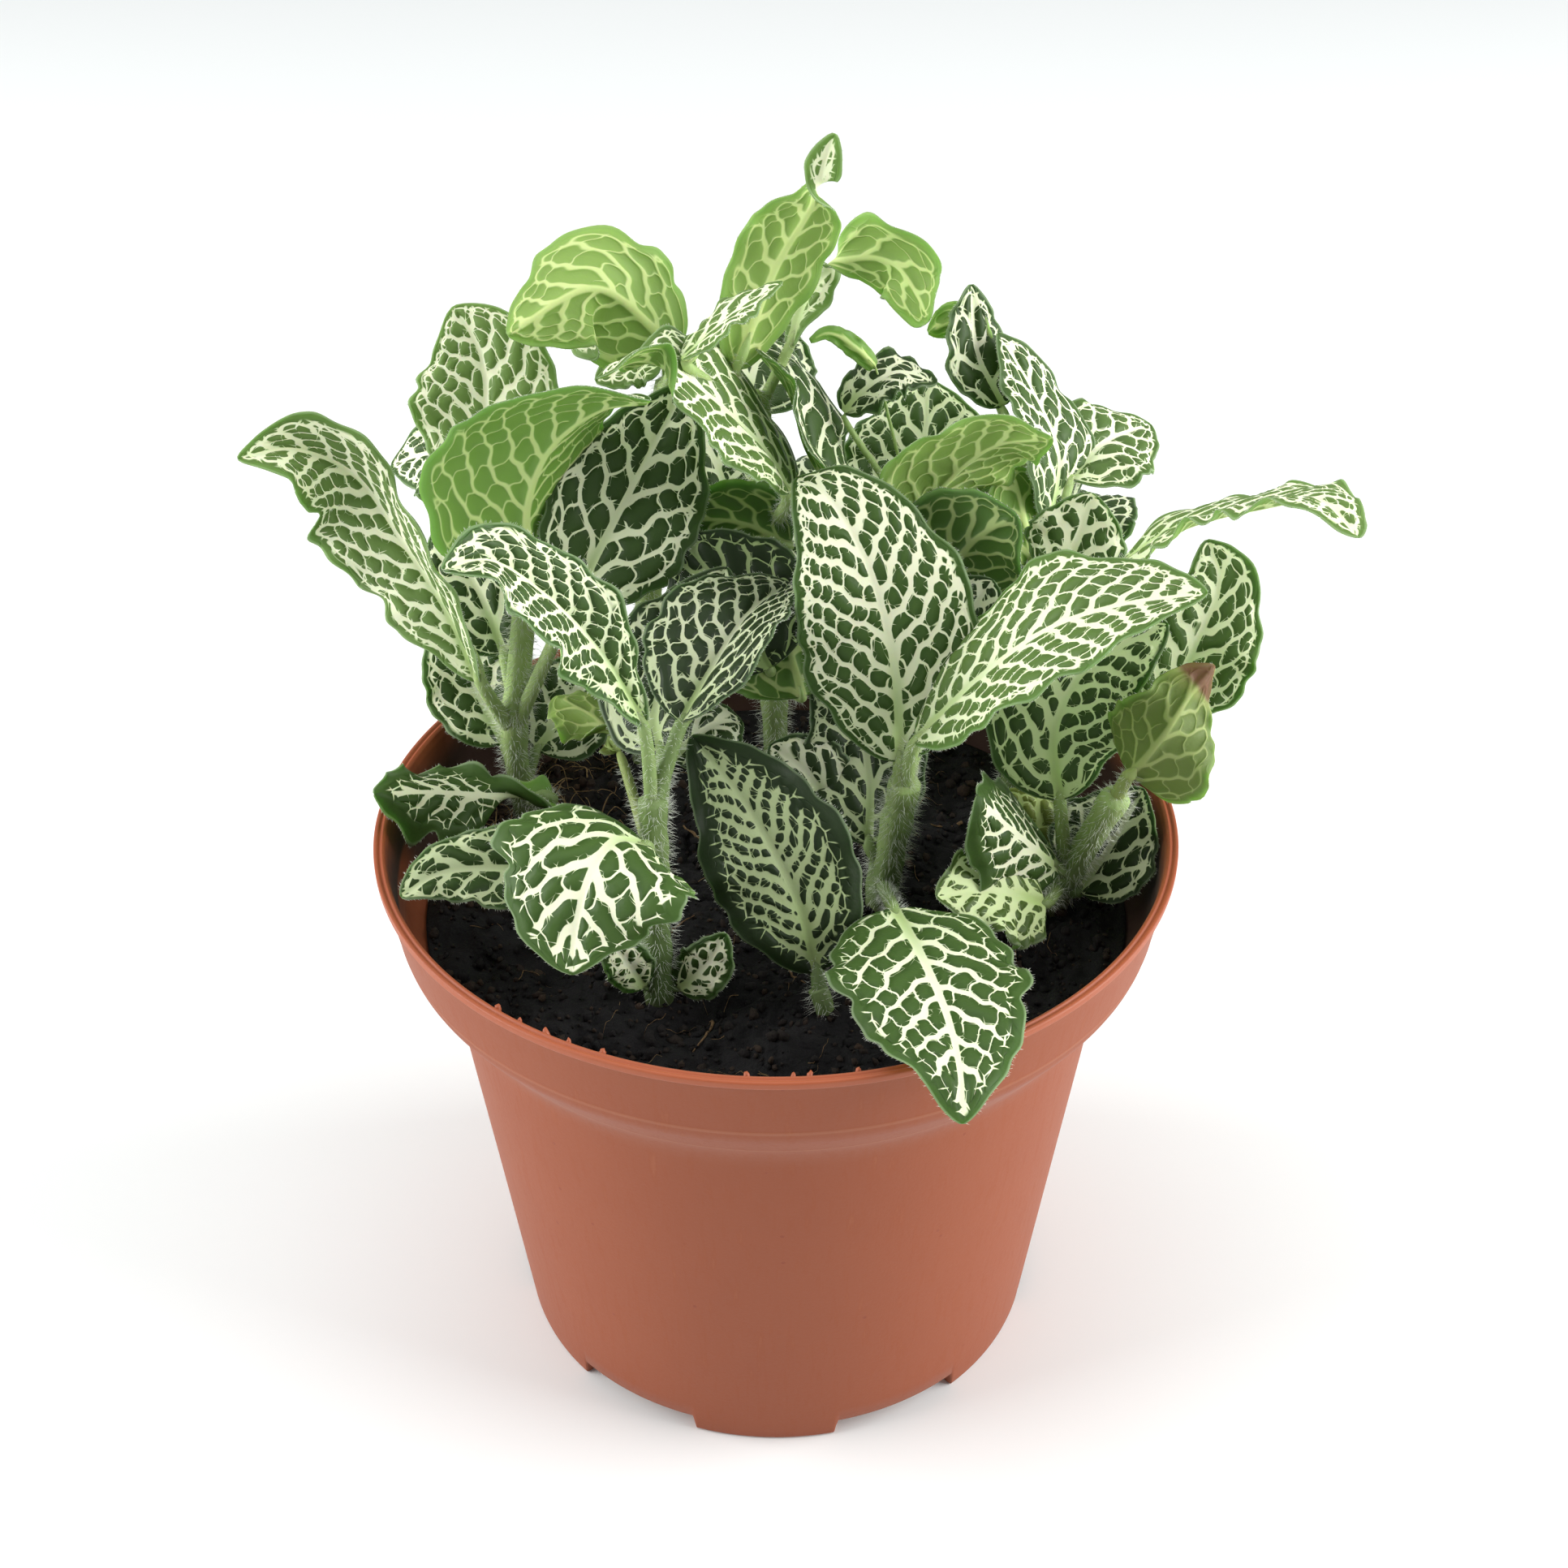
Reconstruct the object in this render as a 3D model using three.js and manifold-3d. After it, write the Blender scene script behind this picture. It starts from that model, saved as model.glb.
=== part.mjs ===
// A nerve plant (mosaic plant) in a 12 cm nursery pot, in millimetres, +Z up.
// The origin is on the pot's axis, at the level of the underside of its feet. +Y points to the back.
import * as THREE from 'three';
import { mergeVertices } from 'three/addons/utils/BufferGeometryUtils.js';
import Module from 'manifold-3d';

const wasm = await Module();
wasm.setup();

// Pot: an injection-moulded tub with a flared shoulder, a collar and a rolled rim.
const POT_HEIGHT = 91;
const RIM_RADIUS = 60;
const COLLAR_BOTTOM = 78;
const COLLAR_RADIUS = 57.2;
const SHOULDER_BOTTOM = 69;
const SHOULDER_RADIUS = 50.5;
const BASE_RADIUS = 41.8;
const WALL = 1.1;
const RIM_DEPTH = 1.6;
const RIM_OVERHANG = 0.8;
const RIM_EDGE = 0.4;
const FOOT_COUNT = 6;
const FOOT_HEIGHT = 3.2;
const FOOT_RING = 5;
const FOOT_EDGE = 0.7;
const FOOT_TAPER = 0.3;
const NOTCH_ANGLE = THREE.MathUtils.degToRad(29);
const FRONT_FOOT_TURN = THREE.MathUtils.degToRad(-2.5);
const DRAIN_RADIUS = 4;
const DRAIN_RING = 27;
const POT_SEGMENTS = 36;
const HOLE_SIDES = 8;

// Soil: moist peat, filled to 16 mm below the rim.
const SOIL_TOP = 75;
const SOIL_SEGMENTS = 24;
const SOIL_RINGS = [0.84, 0.62, 0.38, 0.16];
const LUMP_HEIGHT = 0.9;
const LUMP_PITCH = 30;
const SMALL_LUMP_HEIGHT = 0.5;
const SMALL_LUMP_PITCH = 14;
const CLEARANCE = 0.35;

// Leaves: thin blades, with their halves folded along the midrib and waved edges.
const BLADE_THICKNESS = 0.7;
const BLADE_ROWS = 6;
const MEDIUM_BLADE = 17.5;
const MEDIUM_BLADE_ROWS = 5;
const SMALL_BLADE = 13;
const SMALL_BLADE_ROWS = 4;
const WIDEST_AT = 0.42;
const EGG_ROUNDNESS = 0.75;
const WAVES_ALONG = 2.2;
const RIGHT_WAVE_SHIFT = 0.35;
const EDGE_ROLL = 0.14;
const NECK = 0.9;
const TIP = 0.4;
const SLOPE_STEP = 0.01;
const PETIOLE_RADIUS = 1;
const PETIOLE_REACH = 0.04;
const PETIOLE_SIDES = 4;
const PETIOLE_STEPS = 3;
const STEM_SIDES = 6;
const STEM_ROOT = 14;
const STEM_SAMPLES = 200;

const COLOURS = { pot: '#a5634b', soil: '#241a14', leaf: '#3f6238' };

const point = ([x, y, z]) => new THREE.Vector3(x, y, z);

// One leaf: its width, its midrib from base to tip, the ways its upper side faces at base and tip,
// how far its left and right halves fold up (degrees), the height of its edge waves, the height
// on its stem where its stalk starts, and where along it the leaf is widest.
const leaf = (width, rib, faceBase, faceTip, folds, wave, foot, widest = WIDEST_AT) => (
  { width, rib, faceBase, faceTip, folds, wave, foot, widest }
);

// The leafy stems. Left and right are as seen from the front.
const STEMS = [
  {
    name: 'stem_left', radius: 2.1,
    path: [[-40, 21, 76], [-41, 19, 91], [-39, 19, 108], [-37, 18, 122]],
    leaves: [
      leaf(21, [
        [-45, 14, 106], [-49, 16, 117], [-55, 19, 127], [-62, 22, 137], [-70, 20, 142], [-77, 15, 143],
      ], [-4, -8, 4], [-1, -6, 8], [10, 35], 1.5, 93, 0.55),
      leaf(21, [[-42, 22, 129], [-43, 30, 139], [-44, 37, 149], [-48, 41, 155]],
        [0, -8, 5], [0, -7, 6], [12, 12], 0.9, 119, 0.56),
      leaf(29, [[-35, 14, 127], [-36, 12, 135], [-32, 10, 147], [-24, 7, 155], [-17, 5, 157]],
        [-1, 8, -1], [-2, 6, 5], [50, 0], 0.8, 119, 0.36),
      leaf(23, [[-30, 12, 121], [-25, 15, 130], [-20, 20, 138], [-13, 27, 149]],
        [0, -8, 5], [0, -8, 5], [35, 8], 0.8, 94),
      leaf(15, [[-43, 21, 90], [-46, 24, 95], [-49, 28, 102], [-51, 33, 109]],
        [0, -8, 5], [0, -8, 5], [15, 15], 1, 82),
      leaf(18, [[-42, 22, 106], [-45, 27, 112], [-49, 33, 117], [-52, 39, 120]],
        [0, -8, 5], [0, -8, 5], [15, 15], 0.8, 98),
      leaf(16, [[-38, 22, 88], [-35, 25, 91], [-32, 29, 95], [-29, 33, 99]],
        [0, -8, 5], [0, -8, 5], [15, 15], 1, 82),
      leaf(20, [[-35, 14, 86], [-44, 8, 92], [-54, 2, 97], [-59, -4, 100]],
        [0, -2, 9], [0, -2, 9], [-45, -10], 1.2, 79),
    ],
  },
  {
    name: 'stem_front_left', radius: 2.2,
    path: [[-17, -24, 76], [-17, -23, 96], [-17, -22, 110]],
    leaves: [
      leaf(19, [[-18, -20, 121], [-23, -22, 133], [-30, -26, 145], [-36, -30, 152], [-41, -36, 154]],
        [3, -4, 8], [0, -2, 9], [5, 55], 1.2, 108, 0.56),
      leaf(22, [[-13, -17, 119], [-9, -10, 123], [-4, 0, 126], [2, 9, 126]],
        [-2, -6, 8], [-2, -6, 8], [20, 45], 1, 108),
      leaf(18, [[-16, -14, 112], [-17, -8, 115], [-13, 0, 122], [-7, 10, 128]],
        [-3, -8, 5], [-3, -8, 5], [12, 12], 0.8, 102),
      leaf(27, [[-18, -25, 104], [-22, -30, 108], [-25, -37, 107], [-27, -42, 100], [-27, -45, 97]],
        [0, -2, 9], [-1, -6, 5], [5, 5], 1.4, 97),
      leaf(12, [[-15, -10, 108], [-9, -4, 110], [-5, 0, 108]],
        [0, -5, 8], [0, -5, 8], [10, 10], 0.5, 98),
      leaf(11, [[-31, -14, 90], [-39, -16, 93], [-48, -20, 95], [-53, -24, 94]],
        [0, -6, 8], [0, -6, 8], [10, 10], 1, 84),
      leaf(6, [[-19, -26, 79], [-21, -28, 85], [-24, -30, 92]],
        [0, -6, 5], [0, -6, 5], [10, 10], 0.4, 77),
      leaf(7, [[-14, -25, 78], [-10, -26, 83], [-7, -26, 89]],
        [0, -6, 5], [0, -6, 5], [10, 10], 0.4, 77),
      leaf(12, [[-23, -2, 104], [-26, 2, 106], [-31, 6, 107], [-33, 8, 107]],
        [0, -5, 8], [0, -5, 8], [10, 10], 1, 98),
    ],
  },
  {
    name: 'leaf_front', radius: 1.4,
    path: [[7, -28, 77], [6, -27, 80]],
    leaves: [
      leaf(20, [[6, -26, 82], [3, -22, 92], [-4, -16, 104], [-12, -10, 112]],
        [0, -8, 5], [0, -8, 5], [8, 8], 1, 79),
    ],
  },
  {
    name: 'stem_centre', radius: 2.5,
    path: [[16, -1, 76], [18, -3, 92], [19, -5, 101]],
    leaves: [
      leaf(25, [[18, -6, 105], [17, -3, 119], [13, 2, 133], [7, 8, 141], [3, 13, 141]],
        [0, -8, 5], [0, -4, 9], [12, 12], 0.9, 92),
      leaf(23, [[20, -8, 110], [28, -12, 124], [38, -14, 136], [46, -16, 139], [57, -20, 141]],
        [-5, -2, 8], [0, -3, 9], [15, 15], 1, 99, 0.52),
      leaf(17, [[14, -2, 87], [14, 6, 95], [11, 12, 104], [5, 16, 110]],
        [0, -8, 5], [0, -8, 5], [12, 12], 0.8, 82),
      leaf(25, [[17, -21, 89.5], [20, -35, 92.5], [23, -51, 94], [24, -62, 93.5], [24, -67, 90.5]],
        [0, 0, 9], [0, -3, 8], [5, 5], 1, 79),
      leaf(14, [[25, 3, 119], [28, 4, 124], [31, 5, 129]],
        [0, -6, 6], [0, -6, 6], [10, 10], 0.5, 99),
      leaf(12, [[8, 3, 91], [4, 5, 96], [-1, 7, 99]],
        [0, -6, 6], [0, -6, 6], [10, 10], 0.5, 84),
    ],
  },
  {
    name: 'stem_right', radius: 2.2,
    path: [[43, 0, 76], [45, -1, 82], [50, -6, 99]],
    leaves: [
      leaf(21, [[42, -3, 96], [41, 1, 105], [45, 4, 114], [57, 6, 121]],
        [-2, -8, 5], [-2, -8, 5], [12, 12], 0.9, 80),
      leaf(19, [[51, -6, 103], [56, -10, 107], [60, -12, 111], [63, -11, 117]],
        [-2, 8, -3], [-2, 8, -3], [30, 5], 1.2, 97, 0.4),
      leaf(18, [[45, -2, 79], [49, 1, 85], [54, 4, 94]],
        [-4, -8, 5], [-4, -8, 5], [10, 35], 0.8, 77),
      leaf(20, [[43, -3, 83], [38, -8, 91], [32, -13, 100], [27, -17, 108]],
        [2, -8, 4], [2, -8, 4], [10, -60], 0.8, 80),
      leaf(16, [[40, -10, 82], [31, -16, 89], [23, -20, 91]],
        [0, -5, 8], [0, -5, 8], [10, 10], 1.2, 78),
      leaf(12, [[42, 4, 80], [38, 6, 86], [35, 8, 90]],
        [0, -6, 6], [0, -6, 6], [10, 10], 0.6, 77),
    ],
  },
  {
    name: 'stem_back_left', radius: 2,
    path: [[-22, 37, 76], [-20, 38, 110], [-16, 36, 146]],
    leaves: [
      leaf(20, [[-15, 34, 150], [-18, 33, 155], [-26, 29, 163], [-38, 22, 159]],
        [0, 8, -2], [0, 8, -2], [62, 10], 1, 143),
      leaf(18, [[-38, 36, 124], [-46, 40, 128], [-53, 44, 129], [-61, 48, 125]],
        [0, -5, 8], [0, -5, 8], [10, 10], 0.8, 112),
      leaf(24, [[-30, 44, 98], [-38, 52, 106], [-46, 60, 108], [-52, 64, 104]],
        [-2, 3, 8], [-2, 3, 8], [12, 12], 1, 90),
      leaf(22, [[-22, 48, 112], [-24, 56, 120], [-26, 62, 122], [-28, 66, 118]],
        [-1, 3, 8], [-1, 3, 8], [12, 12], 1, 104),
      leaf(7, [[-17, 38, 147.5], [-21, 38, 147], [-27, 36, 145]],
        [0, -5, 8], [0, -5, 8], [10, 10], 0.4, 143),
    ],
  },
  {
    name: 'stem_back_centre', radius: 2,
    path: [[0, 30, 76], [-1, 30, 110], [-3, 31, 146]],
    leaves: [
      leaf(13.5, [[-13, 16, 158], [-6, 20, 163], [1, 22, 167]],
        [-6, 0, 6], [-6, 0, 6], [10, 10], 0.5, 142),
      leaf(13.5, [[-6, 28, 151], [-1, 30, 167], [4, 26, 178], [6, 22, 184], [8, 20, 189]],
        [-2, 8, 0], [3, 6, 0], [12, 12], 0.8, 142),
      leaf(16, [[2, 34, 152], [5, 37, 159], [10, 37, 164], [17, 34, 165], [21, 30, 161], [22, 25, 160]],
        [2, 5, 2], [3, 8, -1], [10, 10], 0.8, 142, 0.55),
      leaf(20, [[10, 20, 133], [5, 24, 140], [2, 30, 147], [-6, 36, 154]],
        [6, -2, 5], [6, -2, 5], [40, 10], 0.8, 122),
      leaf(22, [[2, 16, 137], [-1, 18, 142], [-9, 18, 151], [-17, 14, 159]],
        [8, -1, 5], [8, -1, 5], [10, 10], 0.8, 122),
      leaf(19, [[-5, 40, 138], [-3, 48, 143], [-1, 54, 149]],
        [0, -8, 5], [0, -8, 5], [10, 10], 0.8, 134),
      leaf(20, [[4, 8, 107], [2, 10, 114], [0, 12, 119]],
        [0, 8, -4], [0, 8, -4], [10, 10], 0.8, 98),
      leaf(24, [[2, 40, 100], [4, 50, 108], [4, 60, 110], [3, 65, 106]],
        [0, 3, 8], [0, 3, 8], [12, 12], 1, 92),
      leaf(22, [[-6, 40, 118], [-10, 48, 126], [-14, 56, 129], [-18, 62, 127]],
        [-1, 3, 8], [-1, 3, 8], [12, 12], 1, 110),
    ],
  },
  {
    name: 'stem_back_right', radius: 2,
    path: [[22, 32, 76], [22, 30, 105], [21, 28, 128]],
    leaves: [
      leaf(20, [[20, 20, 129], [25, 17, 140], [32, 14, 147], [38, 9, 150]],
        [-4, 6, 0], [-4, 6, 0], [10, 10], 0.8, 118, 0.56),
      leaf(20, [[24, 12, 122], [28, 10, 132], [34, 6, 139]],
        [0, 8, -3], [0, 8, -3], [10, 10], 0.8, 110),
      leaf(10, [[10, 30, 143], [13, 31, 146], [18, 33, 148], [24, 34, 146]],
        [0, -3, 8], [0, -3, 8], [10, 10], 0.6, 125),
      leaf(22, [[23, 34, 128], [24, 42, 134], [24, 48, 140]],
        [0, -8, 5], [0, -8, 5], [10, 10], 0.8, 122),
      leaf(24, [[26, 40, 96], [30, 50, 102], [34, 58, 102], [38, 63, 98]],
        [1, 3, 8], [1, 3, 8], [12, 12], 1, 88),
      leaf(22, [[12, 40, 112], [12, 48, 120], [12, 56, 122], [13, 62, 119]],
        [0, 3, 8], [0, 3, 8], [12, 12], 1, 104),
    ],
  },
  {
    name: 'stem_right_back', radius: 2,
    path: [[38, 26, 76], [40, 24, 105], [41, 23, 126]],
    leaves: [
      leaf(17, [[41, 24, 128], [42, 28, 137], [38, 34, 145], [33, 38, 152]],
        [6, -4, 3], [6, -4, 3], [10, 10], 0.8, 122),
      leaf(14, [[34, 34, 142], [30, 38, 149], [29, 42, 158]],
        [8, -2, 2], [8, -2, 2], [10, 10], 0.5, 125),
      leaf(17, [[44, 28, 133], [50, 36, 135], [58, 44, 134]],
        [0, -4, 8], [0, -4, 8], [10, 10], 0.8, 122),
      leaf(18, [[41, 13, 126], [44, 15, 131], [46, 17, 137]],
        [-2, -8, 3], [-2, -8, 3], [10, 10], 0.6, 114),
      leaf(24, [[46, 28, 98], [56, 32, 106], [64, 36, 108], [70, 38, 105]],
        [1, 2, 8], [1, 2, 8], [12, 12], 1, 90),
      leaf(22, [[42, 34, 112], [46, 42, 118], [50, 48, 119], [54, 53, 116]],
        [1, 3, 8], [1, 3, 8], [12, 12], 1, 104),
      leaf(14, [[40, 20, 125], [39, 22, 131], [37, 24, 136]],
        [-4, 6, 0], [-4, 6, 0], [10, 10], 0.5, 118),
    ],
  },
  {
    name: 'stem_far_right', radius: 2,
    path: [[42, 13, 76], [46, 15, 98], [49, 15, 120]],
    leaves: [
      leaf(18, [[49, 4, 132], [56, 2, 139], [66, -6, 147], [72, -16, 153], [75.5, -26, 153]],
        [0, 3, 8], [0, 3, 8], [10, 10], 1, 117),
      leaf(18.5, [[58, 8, 108], [63, 12, 116], [66, 16, 123], [64, 20, 127]],
        [0, -8, 5], [0, -8, 5], [10, 30], 0.8, 96, 0.38),
    ],
  },
];

// A closed indexed solid from any closed geometry.
function solid(geometry) {
  const plain = geometry.clone();
  plain.deleteAttribute('normal');
  plain.deleteAttribute('uv');
  const merged = mergeVertices(plain, 1e-4);
  return new wasm.Manifold(new wasm.Mesh({
    numProp: 3,
    vertProperties: Float32Array.from(merged.attributes.position.array),
    triVerts: Uint32Array.from(merged.index.array),
  }));
}

// A mesh for the scene from a joined or cut solid.
function meshOf(body, name, colour) {
  const data = body.getMesh();
  const geometry = new THREE.BufferGeometry();
  geometry.setAttribute('position', new THREE.BufferAttribute(data.vertProperties, 3));
  geometry.setIndex(new THREE.BufferAttribute(data.triVerts, 1));
  geometry.computeVertexNormals();
  const material = new THREE.MeshStandardMaterial({ color: colour, roughness: 0.6, metalness: 0 });
  const mesh = new THREE.Mesh(geometry, material);
  mesh.name = name;
  return mesh;
}

// A round rod along a curve.
function rod(curve, radius, sides, steps) {
  const section = new THREE.Shape();
  for (let side = 0; side < sides; side += 1) {
    const angle = (2 * Math.PI * side) / sides;
    const corner = [radius * Math.cos(angle), radius * Math.sin(angle)];
    if (side === 0) section.moveTo(...corner);
    else section.lineTo(...corner);
  }
  return solid(new THREE.ExtrudeGeometry(section, { steps, extrudePath: curve, bevelEnabled: false }));
}

// The outline of a leaf: half its width at a share t of its length, egg-shaped with a short point.
function halfWidth({ width, widest }, t) {
  const share = t ** (Math.log(0.5) / Math.log(widest));
  const egg = Math.max(0, Math.sin(Math.PI * share)) ** EGG_ROUNDNESS;
  return (width / 2) * egg + NECK * (1 - t) + TIP * t;
}

// A point of the leaf's middle surface, at t along it and s from -1 (left edge) to 1 (right edge).
// The halves fold up along the midrib, roll over a little to the edge, and the edge waves.
function surfacePoint(shape, curve, t, s) {
  const along = curve.getTangentAt(t);
  const face = point(shape.faceBase).normalize().lerp(point(shape.faceTip).normalize(), t * t);
  face.addScaledVector(along, -face.dot(along)).normalize();
  const across = new THREE.Vector3().crossVectors(along, face);
  const half = halfWidth(shape, t);
  const fold = THREE.MathUtils.degToRad(s < 0 ? shape.folds[0] : shape.folds[1]);
  const shift = s < 0 ? 0 : RIGHT_WAVE_SHIFT;
  const swing = Math.sin(2 * Math.PI * (WAVES_ALONG * t + shift)) * Math.sin(Math.PI * t);
  const wave = shape.wave * swing * s * s;
  const lift = half * (Math.abs(s) * Math.sin(fold) - EDGE_ROLL * s * s) + wave;
  return curve.getPointAt(t)
    .addScaledVector(across, half * s * Math.cos(fold))
    .addScaledVector(face, lift);
}

// A blade: the middle surface moved half the thickness each way along its normal, both faces split
// into triangles alike, and closed by a strip round the edge.
function blade(shape) {
  const curve = new THREE.CatmullRomCurve3(shape.rib.map(point), false, 'centripetal');
  let rows = BLADE_ROWS;
  if (shape.width < MEDIUM_BLADE) rows = MEDIUM_BLADE_ROWS;
  if (shape.width < SMALL_BLADE) rows = SMALL_BLADE_ROWS;
  const columns = shape.width < SMALL_BLADE ? 2 : 4;
  const positions = [];
  for (const face of [1, -1]) {
    for (let row = 0; row <= rows; row += 1) {
      for (let column = 0; column <= columns; column += 1) {
        const t = row / rows;
        const s = (2 * column) / columns - 1;
        const t0 = Math.max(0, t - SLOPE_STEP);
        const t1 = Math.min(1, t + SLOPE_STEP);
        const s0 = Math.max(-1, s - SLOPE_STEP);
        const s1 = Math.min(1, s + SLOPE_STEP);
        const down = surfacePoint(shape, curve, t1, s).sub(surfacePoint(shape, curve, t0, s));
        const over = surfacePoint(shape, curve, t, s1).sub(surfacePoint(shape, curve, t, s0));
        const normal = over.cross(down).normalize();
        const at = surfacePoint(shape, curve, t, s);
        at.addScaledVector(normal, (face * BLADE_THICKNESS) / 2);
        positions.push(at.x, at.y, at.z);
      }
    }
  }
  const across = columns + 1;
  const below = (rows + 1) * across;
  const index = [];
  for (let row = 0; row < rows; row += 1) {
    for (let column = 0; column < columns; column += 1) {
      const a = row * across + column;
      const b = a + 1;
      const c = a + across;
      const d = c + 1;
      index.push(a, b, d, a, d, c);
      index.push(below + a, below + d, below + b, below + a, below + c, below + d);
    }
  }
  const rim = [];
  for (let column = 0; column < columns; column += 1) rim.push(column);
  for (let row = 0; row < rows; row += 1) rim.push(row * across + columns);
  for (let column = columns; column > 0; column -= 1) rim.push(rows * across + column);
  for (let row = rows; row > 0; row -= 1) rim.push(row * across);
  for (let k = 0; k < rim.length; k += 1) {
    const a = rim[k];
    const b = rim[(k + 1) % rim.length];
    index.push(b, a, below + a, b, below + a, below + b);
  }
  const geometry = new THREE.BufferGeometry();
  geometry.setAttribute('position', new THREE.BufferAttribute(new Float32Array(positions), 3));
  geometry.setIndex(index);
  return { body: solid(geometry), curve };
}

// The point at height z on a stem's centre line.
function onStem(curve, z) {
  let best = curve.getPoint(0);
  for (let k = 1; k <= STEM_SAMPLES; k += 1) {
    const candidate = curve.getPoint(k / STEM_SAMPLES);
    if (Math.abs(candidate.z - z) < Math.abs(best.z - z)) best = candidate;
  }
  return best;
}

// A leafy stem: the stem, and each leaf with its stalk sunk into both.
function leafyStem({ path, radius, leaves }) {
  const root = point(path[0]);
  root.z -= STEM_ROOT;
  const curve = new THREE.CatmullRomCurve3([root, ...path.map(point)], false, 'centripetal');
  let body = rod(curve, radius, STEM_SIDES, 2 * path.length);
  for (const shape of leaves) {
    const made = blade(shape);
    const stalk = new THREE.CatmullRomCurve3([
      onStem(curve, shape.foot),
      made.curve.getPointAt(0),
      made.curve.getPointAt(PETIOLE_REACH),
    ], false, 'centripetal');
    body = body.add(rod(stalk, PETIOLE_RADIUS, PETIOLE_SIDES, PETIOLE_STEPS)).add(made.body);
  }
  return body;
}

// A body turned round the pot's axis.
function turned(profile, segments) {
  const points = profile.map(([r, z]) => new THREE.Vector2(r, z));
  const geometry = new THREE.LatheGeometry(points, segments);
  geometry.rotateX(Math.PI / 2);
  return geometry;
}

// The inner wall's radius at height z.
function innerRadius(z) {
  if (z <= SHOULDER_BOTTOM) {
    return BASE_RADIUS + ((SHOULDER_RADIUS - BASE_RADIUS) * z) / SHOULDER_BOTTOM - WALL;
  }
  const share = (z - SHOULDER_BOTTOM) / (COLLAR_BOTTOM - SHOULDER_BOTTOM);
  return SHOULDER_RADIUS + (COLLAR_RADIUS - SHOULDER_RADIUS) * share - WALL;
}

function pot() {
  const floorTop = FOOT_HEIGHT + WALL;
  let body = solid(turned([
    [0, FOOT_HEIGHT],
    [BASE_RADIUS - FOOT_RING, FOOT_HEIGHT],
    [BASE_RADIUS - FOOT_RING + FOOT_TAPER, 0],
    [BASE_RADIUS - FOOT_EDGE, 0],
    [BASE_RADIUS, FOOT_EDGE],
    [SHOULDER_RADIUS, SHOULDER_BOTTOM],
    [COLLAR_RADIUS, COLLAR_BOTTOM],
    [RIM_RADIUS - RIM_OVERHANG, POT_HEIGHT - RIM_DEPTH],
    [RIM_RADIUS, POT_HEIGHT - RIM_DEPTH + RIM_EDGE],
    [RIM_RADIUS, POT_HEIGHT - RIM_EDGE],
    [RIM_RADIUS - RIM_EDGE, POT_HEIGHT],
    [RIM_RADIUS - RIM_DEPTH, POT_HEIGHT],
    [RIM_RADIUS - RIM_DEPTH - RIM_EDGE, POT_HEIGHT - RIM_EDGE],
    [COLLAR_RADIUS - WALL, COLLAR_BOTTOM],
    [SHOULDER_RADIUS - WALL, SHOULDER_BOTTOM],
    [innerRadius(floorTop), floorTop],
    [0, floorTop],
  ], POT_SEGMENTS));
  const notchWidth = 2 * BASE_RADIUS * Math.sin(NOTCH_ANGLE / 2);
  for (let foot = 0; foot < FOOT_COUNT; foot += 1) {
    const angle = FRONT_FOOT_TURN + ((2 * Math.PI) / FOOT_COUNT) * (foot + 0.5) - Math.PI / 2;
    const notch = new THREE.BoxGeometry(2 * FOOT_RING, notchWidth, FOOT_HEIGHT);
    notch.translate(BASE_RADIUS, 0, 0);
    notch.rotateZ(angle);
    const drain = new THREE.CylinderGeometry(DRAIN_RADIUS, DRAIN_RADIUS, 3 * FOOT_HEIGHT, HOLE_SIDES);
    drain.rotateX(Math.PI / 2);
    drain.translate(DRAIN_RING, 0, FOOT_HEIGHT);
    drain.rotateZ(angle);
    body = body.subtract(solid(notch)).subtract(solid(drain));
  }
  return body;
}

// The soil's low lumps at x, y.
function lumps(x, y) {
  const turn = (2 * Math.PI) / LUMP_PITCH;
  const smallTurn = (2 * Math.PI) / SMALL_LUMP_PITCH;
  return LUMP_HEIGHT * Math.sin(turn * x + 1) * Math.cos(turn * y)
    + SMALL_LUMP_HEIGHT * Math.sin(smallTurn * (y - x));
}

function soil() {
  const bottom = FOOT_HEIGHT + WALL + CLEARANCE;
  const edge = innerRadius(SOIL_TOP) - CLEARANCE;
  const geometry = turned([
    [0, bottom],
    [innerRadius(bottom) - CLEARANCE, bottom],
    [innerRadius(SHOULDER_BOTTOM) - CLEARANCE, SHOULDER_BOTTOM + CLEARANCE / 2],
    [edge, SOIL_TOP],
    ...SOIL_RINGS.map((share) => [share * edge, SOIL_TOP]),
    [0, SOIL_TOP],
  ], SOIL_SEGMENTS);
  const at = geometry.attributes.position;
  for (let k = 0; k < at.count; k += 1) {
    const radius = Math.hypot(at.getX(k), at.getY(k));
    const onTop = at.getZ(k) > SOIL_TOP - CLEARANCE && radius < edge - CLEARANCE;
    if (onTop) at.setZ(k, SOIL_TOP + lumps(at.getX(k), at.getY(k)));
  }
  let body = solid(geometry);
  for (const { path, radius } of STEMS) {
    const [x, y, z] = path[0];
    const holeRadius = radius + CLEARANCE;
    const hole = new THREE.CylinderGeometry(holeRadius, holeRadius, 2 * STEM_ROOT, HOLE_SIDES);
    hole.rotateX(Math.PI / 2);
    hole.translate(x, y, z - CLEARANCE);
    body = body.subtract(solid(hole));
  }
  return body;
}

const plant = new THREE.Group();
plant.name = 'potted_nerve_plant';
plant.add(meshOf(pot(), 'pot', COLOURS.pot));
plant.add(meshOf(soil(), 'soil', COLOURS.soil));
for (const stem of STEMS) {
  plant.add(meshOf(leafyStem(stem), stem.name, COLOURS.leaf));
}

export default plant;
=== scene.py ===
"""A nerve plant in a 12 cm nursery pot: the finished surfaces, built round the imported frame.

It is laid out as an add-on. Every shape is a formula on a numpy grid, in millimetres, and is stored in metres.
"""

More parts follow.
